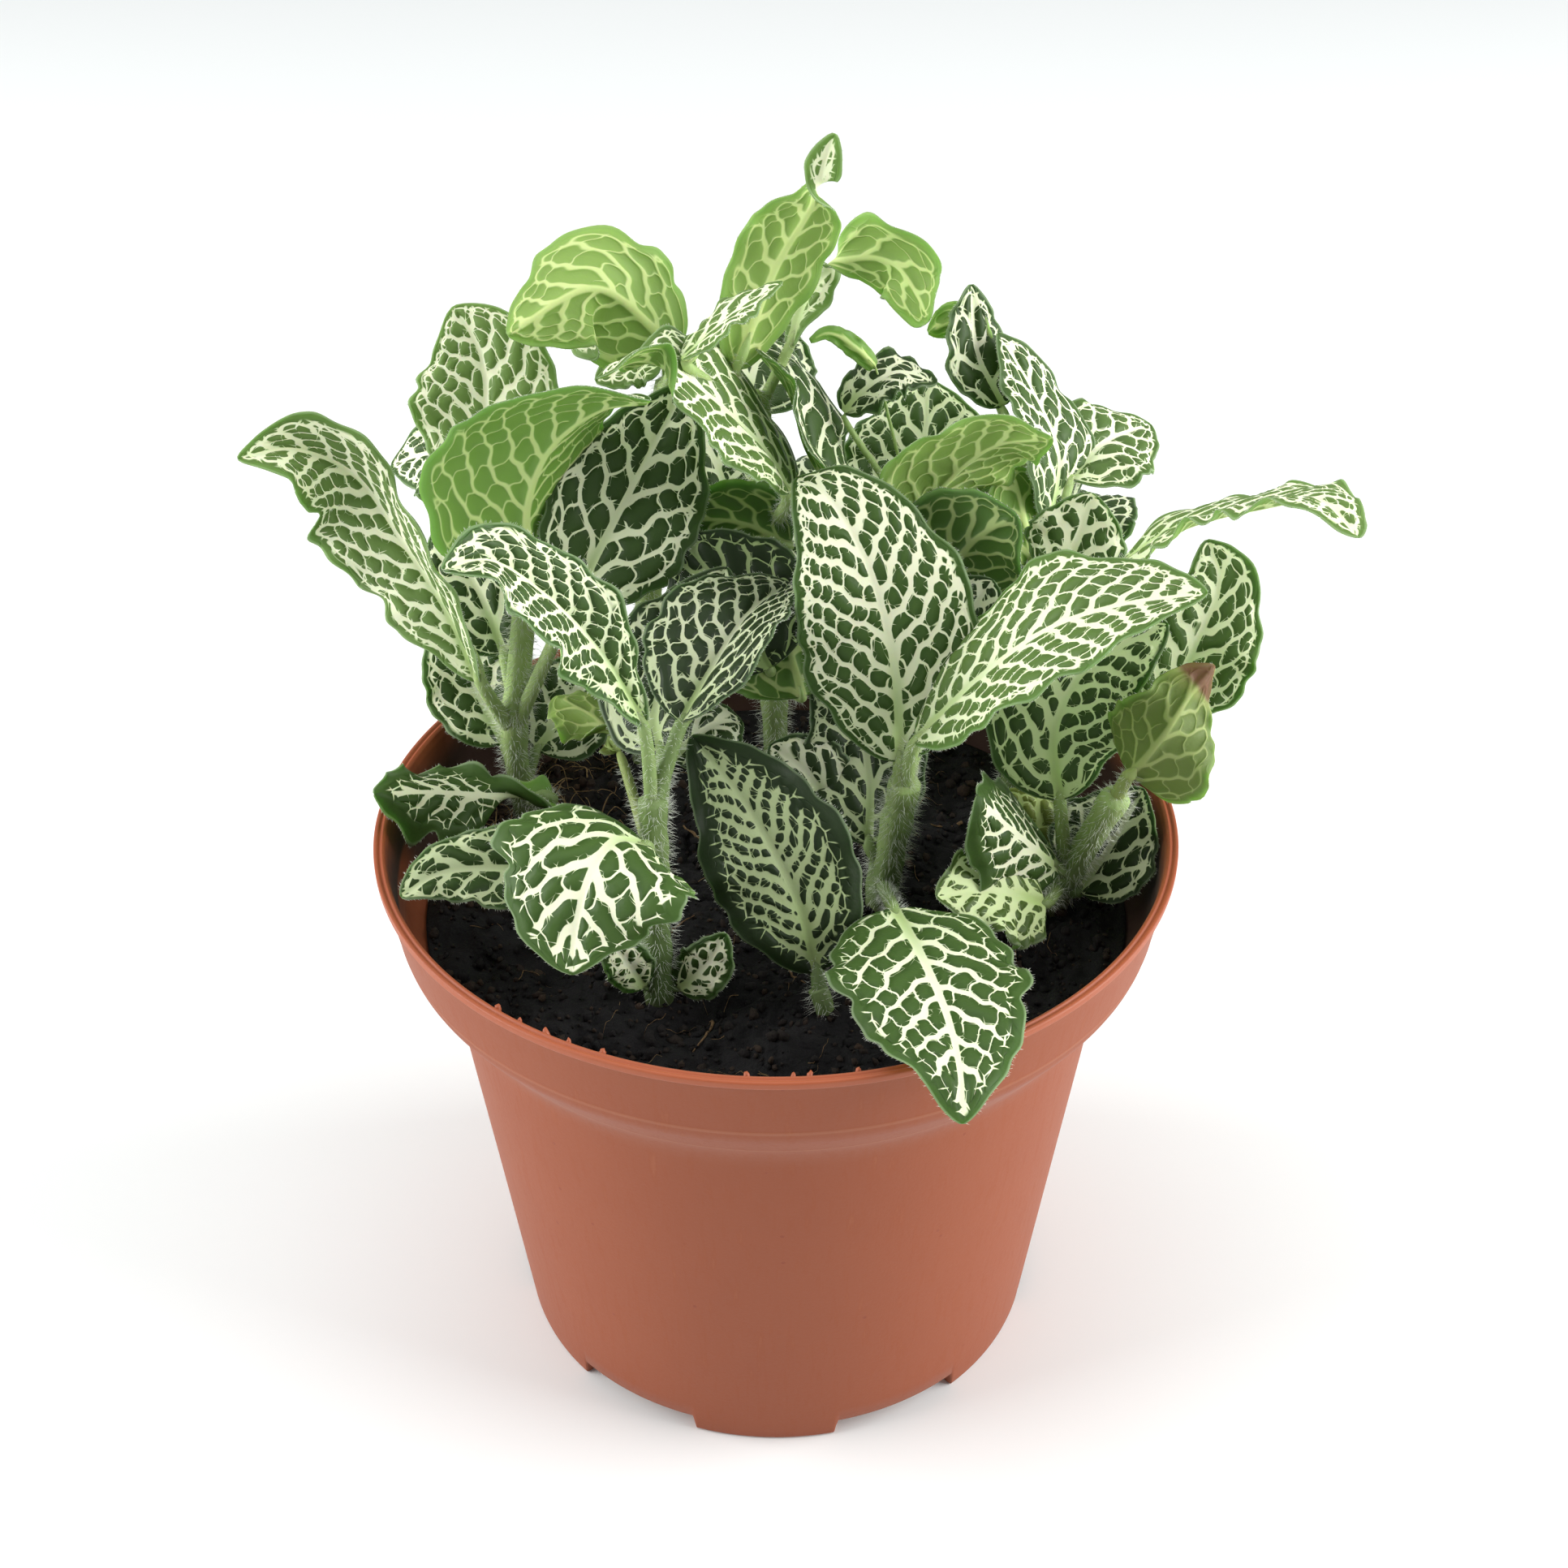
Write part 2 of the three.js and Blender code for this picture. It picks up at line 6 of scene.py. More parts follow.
import math
from itertools import combinations

import bpy
import numpy as np
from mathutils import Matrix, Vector


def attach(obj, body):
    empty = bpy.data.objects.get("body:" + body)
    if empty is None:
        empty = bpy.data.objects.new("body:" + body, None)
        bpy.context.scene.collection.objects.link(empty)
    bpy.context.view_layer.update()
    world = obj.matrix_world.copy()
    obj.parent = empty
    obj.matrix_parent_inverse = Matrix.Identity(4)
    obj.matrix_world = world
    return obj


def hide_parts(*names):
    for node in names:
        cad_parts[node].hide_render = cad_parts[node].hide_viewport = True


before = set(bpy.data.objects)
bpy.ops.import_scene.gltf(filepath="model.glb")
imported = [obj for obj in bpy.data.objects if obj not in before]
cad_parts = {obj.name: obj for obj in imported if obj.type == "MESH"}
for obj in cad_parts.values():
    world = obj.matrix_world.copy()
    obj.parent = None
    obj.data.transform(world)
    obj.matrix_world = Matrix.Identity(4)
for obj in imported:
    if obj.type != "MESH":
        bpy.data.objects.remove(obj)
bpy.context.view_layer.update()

bl_info = {
    "name": "Potted nerve plant",
    "version": (1, 0, 0),
    "blender": (4, 5, 0),
    "location": "View3D > Sidebar > Nerve plant",
    "description": "Builds a nerve plant in peat in a terracotta-coloured nursery pot",
    "category": "Add Mesh",
}

MM = 0.001
TURN = 2 * math.pi
ROOT = "root"

# Camera: a 36 mm frame and a square picture. The focal length is in pixels of a picture with this many
# pixels a side, and fits the pot's ellipses in it.
PICTURE_SIDE = 1932
FOCAL_PIXELS = 3000
SENSOR = 36.0
CAMERA_PLACE = (0.0012, -0.2974, 0.3042)
CAMERA_PITCH = 34.9

# The pot and the peat, in mm, as in the solids.
POT_HEIGHT = 91.0
RIM_RADIUS = 60.0
COLLAR_BOTTOM = 78.0
COLLAR_RADIUS = 57.2
SHOULDER_BOTTOM = 69.0
SHOULDER_RADIUS = 50.5
BASE_RADIUS = 41.8
WALL = 1.1
FOOT_COUNT = 6
FOOT_HEIGHT = 3.2
FOOT_RING = 5.0
NOTCH_ANGLE = 29.0
FRONT_FOOT_TURN = -2.5
DRAIN_RADIUS = 4.0
DRAIN_RING = 27.0
SOIL_TOP = 75.0
CLEARANCE = 0.35

# Leaves: the share of the length where a leaf is widest, the roundness of its outline, its edge waves, the
# half widths added at base and tip, and the sines (share of the half width, waves) that make it uneven.
WIDEST_AT = 0.42
EGG_ROUNDNESS = 0.75
WAVES_ALONG = 2.2
RUFFLES_ALONG = 5.7
RIGHT_WAVE_SHIFT = 0.35
EDGE_ROLL = 0.14
NECK = 0.9
TIP = 0.4
TWIST_NARROWING = 0.72
OUTLINE_SINES = ((0.028, 3.1), (0.024, 5.3), (0.014, 9.1))
MIDRIB_ROUNDING = 0.003

# Blades, in mm: thickness in the middle and at the edge, and what stands out above and below.
BLADE_THICKNESS = 0.5
EDGE_THICKNESS = 0.16
CELL_SWELL = 0.26
CHANNEL_DEPTH = 0.22
RIB_HEIGHT = 0.5
VEIN_HEIGHT = 0.16

# Stems and stalks: rings and sides, how far a stem goes into the peat, its swelling at each pair of stalks,
# its taper, the share of its radius left at the top and how square it is. A stalk's last points lie under
# the midrib, at these shares of the blade's length and of the drop. On a narrow blade it is thinner.
STEM_RINGS, STEM_SIDES = 70, 24
STALK_RINGS, STALK_SIDES = 26, 14
STEM_ROOT = 14
STEM_LENGTH = 50
KNOT_SWELL, KNOT_REACH = 0.16, 2.2
STEM_TAPER = 0.12
STEM_TOP = 0.35
STEM_SQUARENESS = 0.05
STALK_RADIUS = 1.05
STALK_DROP = 1.1
STALK_REACHES = ((0.0, 0.4), (0.05, 1.0), (0.14, 0.75))
FULL_STALK_WIDTH = 16
THINNEST_STALK = 0.25

# Hairs: radii on stems and elsewhere and length at the edge of a blade, in mm, how much shorter they are on
# stalks, how many stand on a mm of edge for one on a mm2 of stem, how far those of a stem hang, how much
# their directions and lengths vary, and how far they bend.
STEM_HAIR_RADIUS = 0.032
FINE_HAIR_RADIUS = 0.028
EDGE_HAIR_LENGTH = 0.45
STALK_HAIR_SHARE = 0.75
EDGE_HAIR_SHARE = 0.9
HAIR_HANG = -0.15
HAIR_SPREAD = 0.28
HAIR_LENGTHS = (0.55, 1.25)
HAIR_BEND = 0.22

# The vein net, in mm: distance of side veins along the midrib and of cross veins, and their steepness. The
# zigzag bends side veins at the cross veins. The arches that close the strips bulge by the swell between
# the side veins, and past them veins get thinner by the pointed share of the distance. A width is that at
# the midrib (or the base, for the midrib) and how much of it is gone at the edge (or the tip).
VEIN_GAP = 4.7
CROSS_GAP = 4.7
VEIN_RISE = 0.98
VEIN_BEND = 0.3
ZIGZAG = 0.055
ARCH_SWELL = 0.9
POINTED = 0.38
RIB_WIDTH = (0.72, 0.45)
SIDE_WIDTH = (0.54, 0.30)
CROSS_WIDTH = (0.22, 0.03)
JOIN_ROUNDING = 0.15
GOLDEN = 0.6180339887
PLASTIC = 0.7548777


def leaf(width, rib, face, folds, wave, foot, widest=WIDEST_AT, **look):
    """One leaf: width, midrib from base to tip, the way its upper side faces, how far its left and right
    halves fold up in degrees, the height of its edge waves, the height on its stem where its stalk starts,
    and where it is widest. The look gives tip (the way it faces at the tip), tone (0 dark to 1 light green,
    partly the leaf's own green and partly painted shade and painted light for how the leaf is lit), white (how
    white the veins are, partly their own cream and partly lowered on shaded leaves as painted shade), age (0
    green, 0.5 yellow, 1 brown), net (weight of the veins), gap (size of the cells), margin (mm of dark edge),
    arches (whether veins close to arches before the margin), burn (brown tip), ruffle (height of fine edge
    waves, mm), lobes (how uneven the outline is), twist (degrees, and the two places between which the blade
    turns over) and fine (fineness of the mesh)."""
    return dict(
        dict(tip=face, tone=0.5, white=1.0, age=0.0, net=1.0, gap=1.0, margin=2.2, arches=1.0, burn=0.0,
             ruffle=0.35, lobes=1.0, twist=(0, 0.5, 0.8), fine=1.0),
        width=width, rib=rib, face=face, folds=np.broadcast_to(folds, 2), wave=wave, foot=foot, widest=widest,
        **look)


def back_leaf(width, rib, face, foot):
    """A plain leaf at the back of the plant, darkened by painted shade through its low tone, on a coarser mesh.
    """
    return leaf(width, rib, face, 12, 1, foot, tone=0.3, fine=0.5)


def stem(radius, tone, path, *leaves):
    """One leafy stem: its radius, its tone (below 0.5 it darkens the stem, and with each leaf's tone its stalks,
    with painted shade), its path up from the peat, and its leaves.
    """
    return dict(radius=radius, tone=tone, path=path, leaves=leaves)


# A tone below 0.5, of a stem or a leaf, paints shade on it; a leaf's tone above 0.5 paints light on it, along
# with a lighter green of its own.
STEMS = {
    "stem_left": stem(2.0, 0.6, [[-40, 21, 76], [-41, 19, 91], [-39, 19, 108], [-37, 18, 122]],
        leaf(21, [[-45, 14, 106], [-49, 16, 117], [-55, 19, 127], [-62, 22, 137], [-70, 20, 142], [-77, 15, 143]],
             [-4, -8, 4], [10, 55], 1.5, 93, 0.47, tip=[-1, -6, 8],
             tone=0.85, gap=0.95, margin=2.4, lobes=3.0, ruffle=0.9),
        leaf(21, [[-42, 22, 129], [-43, 30, 139], [-44, 37, 149], [-48, 41, 155]],
             [0, -8, 5], 12, 0.9, 119, 0.56, tip=[0, -7, 6],
             tone=1.0, gap=0.95, net=0.9, margin=2.1, lobes=1.2),
        leaf(29, [[-35, 14, 127], [-36, 12, 135], [-32, 10, 147], [-24, 7, 155], [-17, 5, 157]],
             [-1, 8, -1], [50, 0], 0.8, 119, 0.36, tip=[-2, 6, 5], tone=0.6, net=0.9),
        leaf(23, [[-30, 12, 121], [-25, 15, 130], [-20, 20, 138], [-13, 27, 149]],
             [0, -8, 5], [35, 8], 0.8, 94, tone=0.3, gap=1.3, net=1.1, margin=2.6),
        leaf(15, [[-43, 21, 90], [-46, 24, 95], [-49, 28, 102], [-51, 33, 109]],
             [0, -8, 5], 15, 1, 82, tone=0.4),
        leaf(18, [[-42, 22, 106], [-45, 27, 112], [-49, 33, 117], [-52, 39, 120]],
             [0, -8, 5], 15, 0.8, 98, tone=0.3),
        leaf(16, [[-38, 22, 88], [-35, 25, 91], [-32, 29, 95], [-29, 33, 99]],
             [0, -8, 5], 15, 1, 82, tone=0.3),
        leaf(17, [[-35, 13, 84.5], [-42.5, 7, 89.5], [-51.5, 1, 94.5], [-59, -5, 98.5]],
             [0, 2, -9], [-50, -5], 2.0, 79, tip=[0, 4, -9],
             tone=0.5, gap=0.9, margin=3.6, ruffle=1.5, lobes=2.4, arches=0.0, twist=(180, 0.12, 0.40)),
    ),
    "stem_front_left": stem(2.0, 0.0, [[-17, -24, 76], [-17, -23, 96], [-17, -22, 110]],
        leaf(14, [[-18, -20, 121], [-23, -22, 133], [-30, -26, 145], [-36, -30, 152], [-41, -36, 154]],
             [3, -4, 8], [5, 55], 1.2, 108, 0.56, tip=[0, -2, 9],
             tone=0.38, gap=0.85, net=0.7, white=0.9, margin=1.9, ruffle=0.6, lobes=1.6),
        leaf(22, [[-13, -17, 119], [-9, -10, 123], [-4, 0, 126], [2, 9, 126]],
             [-2, -6, 8], [20, 45], 1, 108, tone=0.08, gap=0.9, net=0.8, white=0.85, margin=1.9),
        leaf(18, [[-16, -14, 112], [-17, -8, 115], [-13, 0, 122], [-7, 10, 128]],
             [-3, -8, 5], 12, 0.8, 102, tone=0.1, gap=1.1, white=0.8),
        leaf(27, [[-18, -25, 104], [-22, -30, 108], [-25, -37, 107], [-27, -42, 100], [-27, -45, 97]],
             [0, -2, 9], 5, 1.4, 97, tip=[-1, -6, 5],
             tone=0.55, gap=1.15, net=1.15, margin=2.6, lobes=2.0, arches=0.2),
        leaf(12, [[-15, -10, 108], [-9, -4, 110], [-5, 0, 108]],
             [0, -5, 8], 10, 0.5, 98, tone=0.2),
        leaf(11, [[-31, -14, 90], [-39, -16, 93], [-48, -20, 95], [-53, -24, 94]],
             [0, -6, 8], 10, 1, 84, tone=0.3, margin=1.6, white=0.6),
        leaf(6, [[-19, -26, 79], [-21, -28, 85], [-24, -30, 92]],
             [0, -6, 5], 10, 0.4, 77, tone=0.3, gap=0.6, net=0.7),
        leaf(7, [[-14, -25, 78], [-10, -26, 83], [-7, -26, 89]],
             [0, -6, 5], 10, 0.4, 77, tone=0.3, gap=0.6, net=0.7),
        leaf(12, [[-23, -2, 104], [-26, 2, 106], [-31, 6, 107], [-33, 8, 107]],
             [0, -5, 8], 10, 1, 98,
             tone=0.3, age=0.25, net=0.6, white=0.15, ruffle=0.9, lobes=2.0, twist=(-160, 0.05, 0.35)),
    ),
    "leaf_front": stem(1.4, 0.5, [[7, -28, 77], [6, -27, 80]],
        leaf(20, [[6, -26, 82], [3, -22, 92], [-4, -16, 104], [-12, -10, 112]],
             [0, -8, 5], 8, 1, 79, tone=0.0, gap=0.62, net=1.0, white=0.42, margin=3.3, arches=0.0),
    ),
    "stem_centre": stem(2.3, 0.8, [[16, -1, 76], [18, -3, 92], [19, -5, 101]],
        leaf(25, [[18, -6, 105], [17, -3, 119], [13, 2, 133], [7, 8, 141], [3, 13, 141]],
             [0, -8, 5], 12, 0.9, 92, tip=[0, -4, 9], tone=0.5, gap=0.95, net=1.05, margin=2.3),
        leaf(23, [[20, -8, 110], [29.4, -10.5, 123], [38, -13.5, 132.3], [47, -16, 137.3], [57, -20, 141.3]],
             [-5, -2, 8], 15, 1, 99, 0.47, tip=[0, -3, 9],
             tone=0.75, gap=0.95, net=0.95, margin=2.2, lobes=1.6),
        leaf(17, [[14, -2, 87], [14, 6, 95], [11, 12, 104], [5, 16, 110]],
             [0, -8, 5], 12, 0.8, 82, tone=0.1, white=0.7),
        leaf(25, [[17, -21, 89.5], [20, -35, 92.5], [23, -51, 94], [24, -62, 93.5], [24, -67, 90.5]],
             [0, 0, 9], 5, 1, 79, 0.38, tip=[0, -3, 8],
             tone=0.42, gap=1.25, net=1.1, margin=2.6, lobes=1.5, arches=0.35),
        leaf(14, [[25, 3, 119], [28, 4, 124], [31, 5, 129]],
             [0, -6, 6], 10, 0.5, 99, tone=0.2, gap=0.8),
        leaf(12, [[8, 3, 91], [4, 5, 96], [-1, 7, 99]],
             [0, -6, 6], 10, 0.5, 84, tone=0.15, gap=0.8),
    ),
    "stem_right": stem(2.2, 0.5, [[43, 0, 76], [45, -1, 82], [50, -6, 99]],
        leaf(21, [[42, -3, 96], [41, 1, 105], [45, 4, 114], [57, 6, 121]],
             [-2, -8, 5], 12, 0.9, 80, tone=0.3, gap=0.9, net=1.1, white=0.5),
        leaf(18, [[51.4, -6, 102.5], [53.3, -8.5, 107.5], [55.9, -8.5, 112.3], [59.2, -5, 116.2],
                  [62.8, -2, 118.8]],
             [4, 8.5, -1], [10, 35], 1.0, 97, 0.25, tip=[-4, 6, 0],
             tone=0.05, net=0.8, age=0.25, burn=1.2, lobes=0.9, ruffle=0.6),
        leaf(19, [[46, -2.5, 78.5], [50.5, 0, 84.5], [55.5, 3.5, 93.5]],
             [-4, -8, 5], [10, 35], 0.8, 77, tone=0.1, gap=1.1, net=1.1),
        leaf(20, [[43, -3, 83], [38, -8, 91], [32.5, -13, 99.5], [28.5, -16, 106]],
             [2, -8, 4], [10, -60], 0.8, 80, tone=0.35, gap=1.0, net=0.95, margin=3.8, lobes=1.8, arches=0.3),
        leaf(16, [[40, -10, 82], [31, -16, 89], [23, -20, 91]],
             [0, -5, 8], 10, 1.2, 78, tone=0.4, age=0.12, gap=0.75, net=1.2, white=0.45, ruffle=0.9, lobes=1.6),
        leaf(12, [[42, 4, 80], [38, 6, 86], [35, 8, 90]],
             [0, -6, 6], 10, 0.6, 77, tone=0.4, age=0.3, white=0.2),
    ),
    "stem_back_left": stem(2, 0.5, [[-22, 37, 76], [-20, 38, 110], [-16, 36, 146]],
        leaf(20, [[-15, 34, 150], [-18, 33, 155], [-26, 29, 163], [-38, 22, 159]],
             [0, 8, -2], [42, 10], 1, 143, tone=0.95, lobes=1.5),
        leaf(18, [[-38, 36, 124], [-46, 40, 128], [-53, 44, 129], [-61, 48, 125]],
             [0, -5, 8], 10, 0.8, 112, tone=0.5, gap=0.9),
        back_leaf(24, [[-30, 44, 98], [-38, 52, 106], [-46, 59.4, 108], [-52, 63.1, 104]], [-2, 3, 8], 90),
        back_leaf(22, [[-22, 48, 112], [-24, 56, 120], [-26, 61.2, 122], [-28, 64.9, 118]], [-1, 3, 8], 104),
        leaf(7, [[-17, 38, 147.5], [-21, 38, 147], [-27, 36, 145]],
             [0, -5, 8], 10, 0.4, 143, tone=0.8, gap=0.6, net=0.6),
    ),
    "stem_back_centre": stem(2, 0.5, [[0, 30, 76], [-1, 30, 110], [-3, 31, 146]],
        leaf(13.5, [[-13, 16, 158], [-6, 20, 163], [1, 22, 167]],
             [-6, 0, 6], 10, 0.5, 142, tone=0.8, gap=0.8, net=0.9),
        leaf(12, [[-6, 28, 151], [0, 30, 166], [5.2, 26, 177], [6.6, 22, 184], [8, 20, 189]],
             [-2, 8, 0], 12, 0.8, 142, tip=[3, 6, 0], tone=1.0, gap=1.1, twist=(-165, 0.68, 0.82)),
        leaf(12.5, [[2, 34, 152], [5, 37, 159], [10, 37, 164], [17, 34, 165], [21, 30, 161], [22, 25, 160]],
             [-5, -6, -2], 10, 0.8, 142, 0.6, tip=[-3, -8, 1],
             tone=1.0, gap=1.1, lobes=1.8, twist=(180, 0.30, 0.46)),
        leaf(20, [[10, 20, 133], [5, 24, 140], [2, 30, 147], [-6, 36, 154]],
             [6, -2, 5], [40, 10], 0.8, 122, tone=0.4, gap=1.3),
        leaf(22, [[2, 16, 137], [-1, 18, 142], [-9, 18, 151], [-16, 14, 158.5], [-20, 11, 160.3],
                  [-24.5, 9, 158.4]],
             [8, -1, 5], 10, 0.8, 122, 0.35, tone=0.75, gap=0.95, net=0.95, twist=(88, 0.7, 0.8)),
        leaf(19, [[-5, 40, 138], [-3, 48, 143], [-1, 54, 149]],
             [0, -8, 5], 10, 0.8, 134, tone=0.3, gap=1.4),
        leaf(20, [[4, 8, 107], [2, 10, 114], [0, 12, 119]],
             [0, 8, -4], 10, 0.8, 98, tone=0.2),
        leaf(23, [[-1, 8, 112], [-5, 10, 119.5], [-10, 13, 126], [-14, 15, 130]],
             [0, -8, 5], 10, 0.8, 98, tone=0.0, gap=1.2, net=0.85, white=0.25, arches=0.5),
        leaf(12, [[2, 22, 125], [-4, 21, 129], [-10, 20, 130.5], [-15, 19, 130]],
             [0, 8, -3], 10, 0.6, 118, tone=0.1, gap=0.8, net=0.7),
        back_leaf(24, [[2, 40, 100], [4, 50, 108], [4, 59.3, 110], [3, 64.1, 106]], [0, 3, 8], 92),
        back_leaf(22, [[-6, 40, 118], [-10, 48, 126], [-14, 56, 129], [-18, 62, 127]], [-1, 3, 8], 110),
    ),
    "stem_back_right": stem(2, 0.5, [[22, 32, 76], [22, 30, 105], [21, 28, 128]],
        leaf(22, [[20, 20, 129], [24.5, 17, 138.5], [31, 14, 146], [38.5, 9, 149.5]],
             [-4, 6, 0], 10, 0.8, 118, 0.42, tone=1.0),
        leaf(20, [[24, 12, 122], [28, 10, 132], [34, 6, 139]],
             [0, 8, -3], 10, 0.8, 110, tone=0.0),
        leaf(8, [[10, 30, 143], [13, 31, 146], [18, 33, 148], [24, 34, 146]],
             [0, -3, 8], 10, 0.6, 125, tone=0.25, gap=0.75, net=0.7, ruffle=0.9, lobes=2.0),
        leaf(24, [[21, 30, 124], [22.8, 40, 132], [23.5, 47.5, 140]],
             [0, -8, 5], 10, 0.8, 122, tone=0.5, white=0.75),
        back_leaf(24, [[26, 40, 96], [30, 50, 102], [34, 57.6, 102], [38, 62.6, 98]], [1, 3, 8], 88),
        back_leaf(22, [[12, 40, 112], [12, 48, 120], [12, 56, 122], [13, 62, 119]], [0, 3, 8], 104),
        leaf(1.9, [[14.6, 33, 148.9], [11.2, 32, 152.8], [7.6, 31, 155.2], [5, 30, 154.4]],
             [-2, 8, -3], 20, 0.4, 125, tip=[0, 8, -2], tone=0.6, net=0.6, gap=0.8, margin=1.0, arches=0.5),
    ),
    "stem_right_back": stem(2, 0.5, [[38, 26, 76], [40, 24, 105], [41, 23, 126]],
        leaf(17, [[41, 24, 128], [42, 28, 137], [38, 34, 145], [33, 38, 152]],
             [6, -4, 3], 10, 0.8, 122, tone=0.55, gap=0.95, net=0.75),
        leaf(10.5, [[34, 34, 142], [30, 38, 149], [29, 42, 158]],
             [4, -6, 3], 10, 0.5, 125, tone=0.3, gap=1.4, net=0.8, margin=1.9),
        leaf(17, [[44, 28, 133], [50, 36, 135], [58, 44, 134]],
             [0, -4, 8], 10, 0.8, 122, tone=0.7, net=0.85),
        leaf(14, [[41, 13, 124], [44, 15, 129.5], [46, 17, 136.5]],
             [-2, -8, 3], 10, 0.6, 114, tone=0.6, gap=1.0, net=1.2, margin=1.8),
        back_leaf(24, [[46, 28, 98], [56, 32, 106], [63.6, 35.8, 108], [69.4, 37.6, 105]], [1, 2, 8], 90),
        back_leaf(22, [[42, 34, 112], [46, 42, 118], [50, 48, 119], [54, 53, 116]], [1, 3, 8], 104),
        leaf(18, [[38, 20, 123], [36.5, 22, 130], [34.5, 24, 137]],
             [-4, 6, 0], 10, 0.5, 118, tone=0.7),
        leaf(5.4, [[30.7, 38.5, 147.1], [29.3, 40, 150.6], [26.9, 41.5, 152.3], [22.8, 41, 150.7]],
             [0, 8, -2], 10, 0.3, 125, 0.5, tone=0.9, net=0.7, gap=0.9, margin=1.4),
    ),
    "stem_far_right": stem(2, 0.5, [[42, 13, 76], [46, 15, 98], [49, 15, 120]],
        leaf(18, [[49, 4, 132], [56, 2, 139], [66, -6, 147], [71.0, -16, 153], [74.2, -26, 153]],
             [0, 0.6, 8], 10, 1, 117, tip=[0, 2.4, 8], tone=0.85, gap=0.9, ruffle=1.0, lobes=1.6),
        leaf(19.5, [[58, 7, 105], [62.3, 11.3, 114], [65.7, 15.7, 122.5], [64, 20, 127]],
             [0, -8, 5], [10, 30], 0.8, 96, 0.36, tone=0.65, gap=0.95, white=0.85),
    ),
}


# ---------------------------------------------------------------- formulas that numpy and nodes share

def add(tree, kind, settings=None, inputs=None):
    """Adds a node with its settings, and links or sets its inputs."""
    node = tree.nodes.new(kind)
    for name, value in (settings or {}).items():
        setattr(node, name, value)
    for name, value in (inputs or {}).items():
        value = value.socket if isinstance(value, Wire) else value
        if isinstance(value, bpy.types.NodeSocket):
            tree.links.new(value, node.inputs[name])
        else:
            node.inputs[name].default_value = value
    return node


class Wire(np.lib.mixins.NDArrayOperatorsMixin):
    """A socket that a numpy formula takes as it takes an array: each step of the formula adds a node."""

    STEPS = {
        np.add: "ADD", np.subtract: "SUBTRACT", np.multiply: "MULTIPLY", np.divide: "DIVIDE",
        np.sin: "SINE", np.absolute: "ABSOLUTE", np.floor: "FLOOR", np.sqrt: "SQRT", np.exp: "EXPONENT",
        np.minimum: "MINIMUM", np.maximum: "MAXIMUM", np.greater: "GREATER_THAN", np.log: "LOGARITHM",
    }

    def __init__(self, tree, socket):
        self.tree = tree
        self.socket = socket

    def __array_ufunc__(self, step, method, *terms):
        """Adds the node of one step. The base of a logarithm comes after its own term."""
        terms = dict(enumerate([*terms, math.e]))
        node = add(self.tree, "ShaderNodeMath", {"operation": self.STEPS[step]}, terms)
        return Wire(self.tree, node.outputs[0])


def share(value):
    """The part of a value after its whole number."""
    return value - np.floor(value)


def ramp(value, low, high):
    """0 below low and 1 above high, with a soft step between them."""
    part = np.minimum(np.maximum((value - low) / (high - low), 0.0), 1.0)
    return part * part * (3.0 - 2.0 * part)


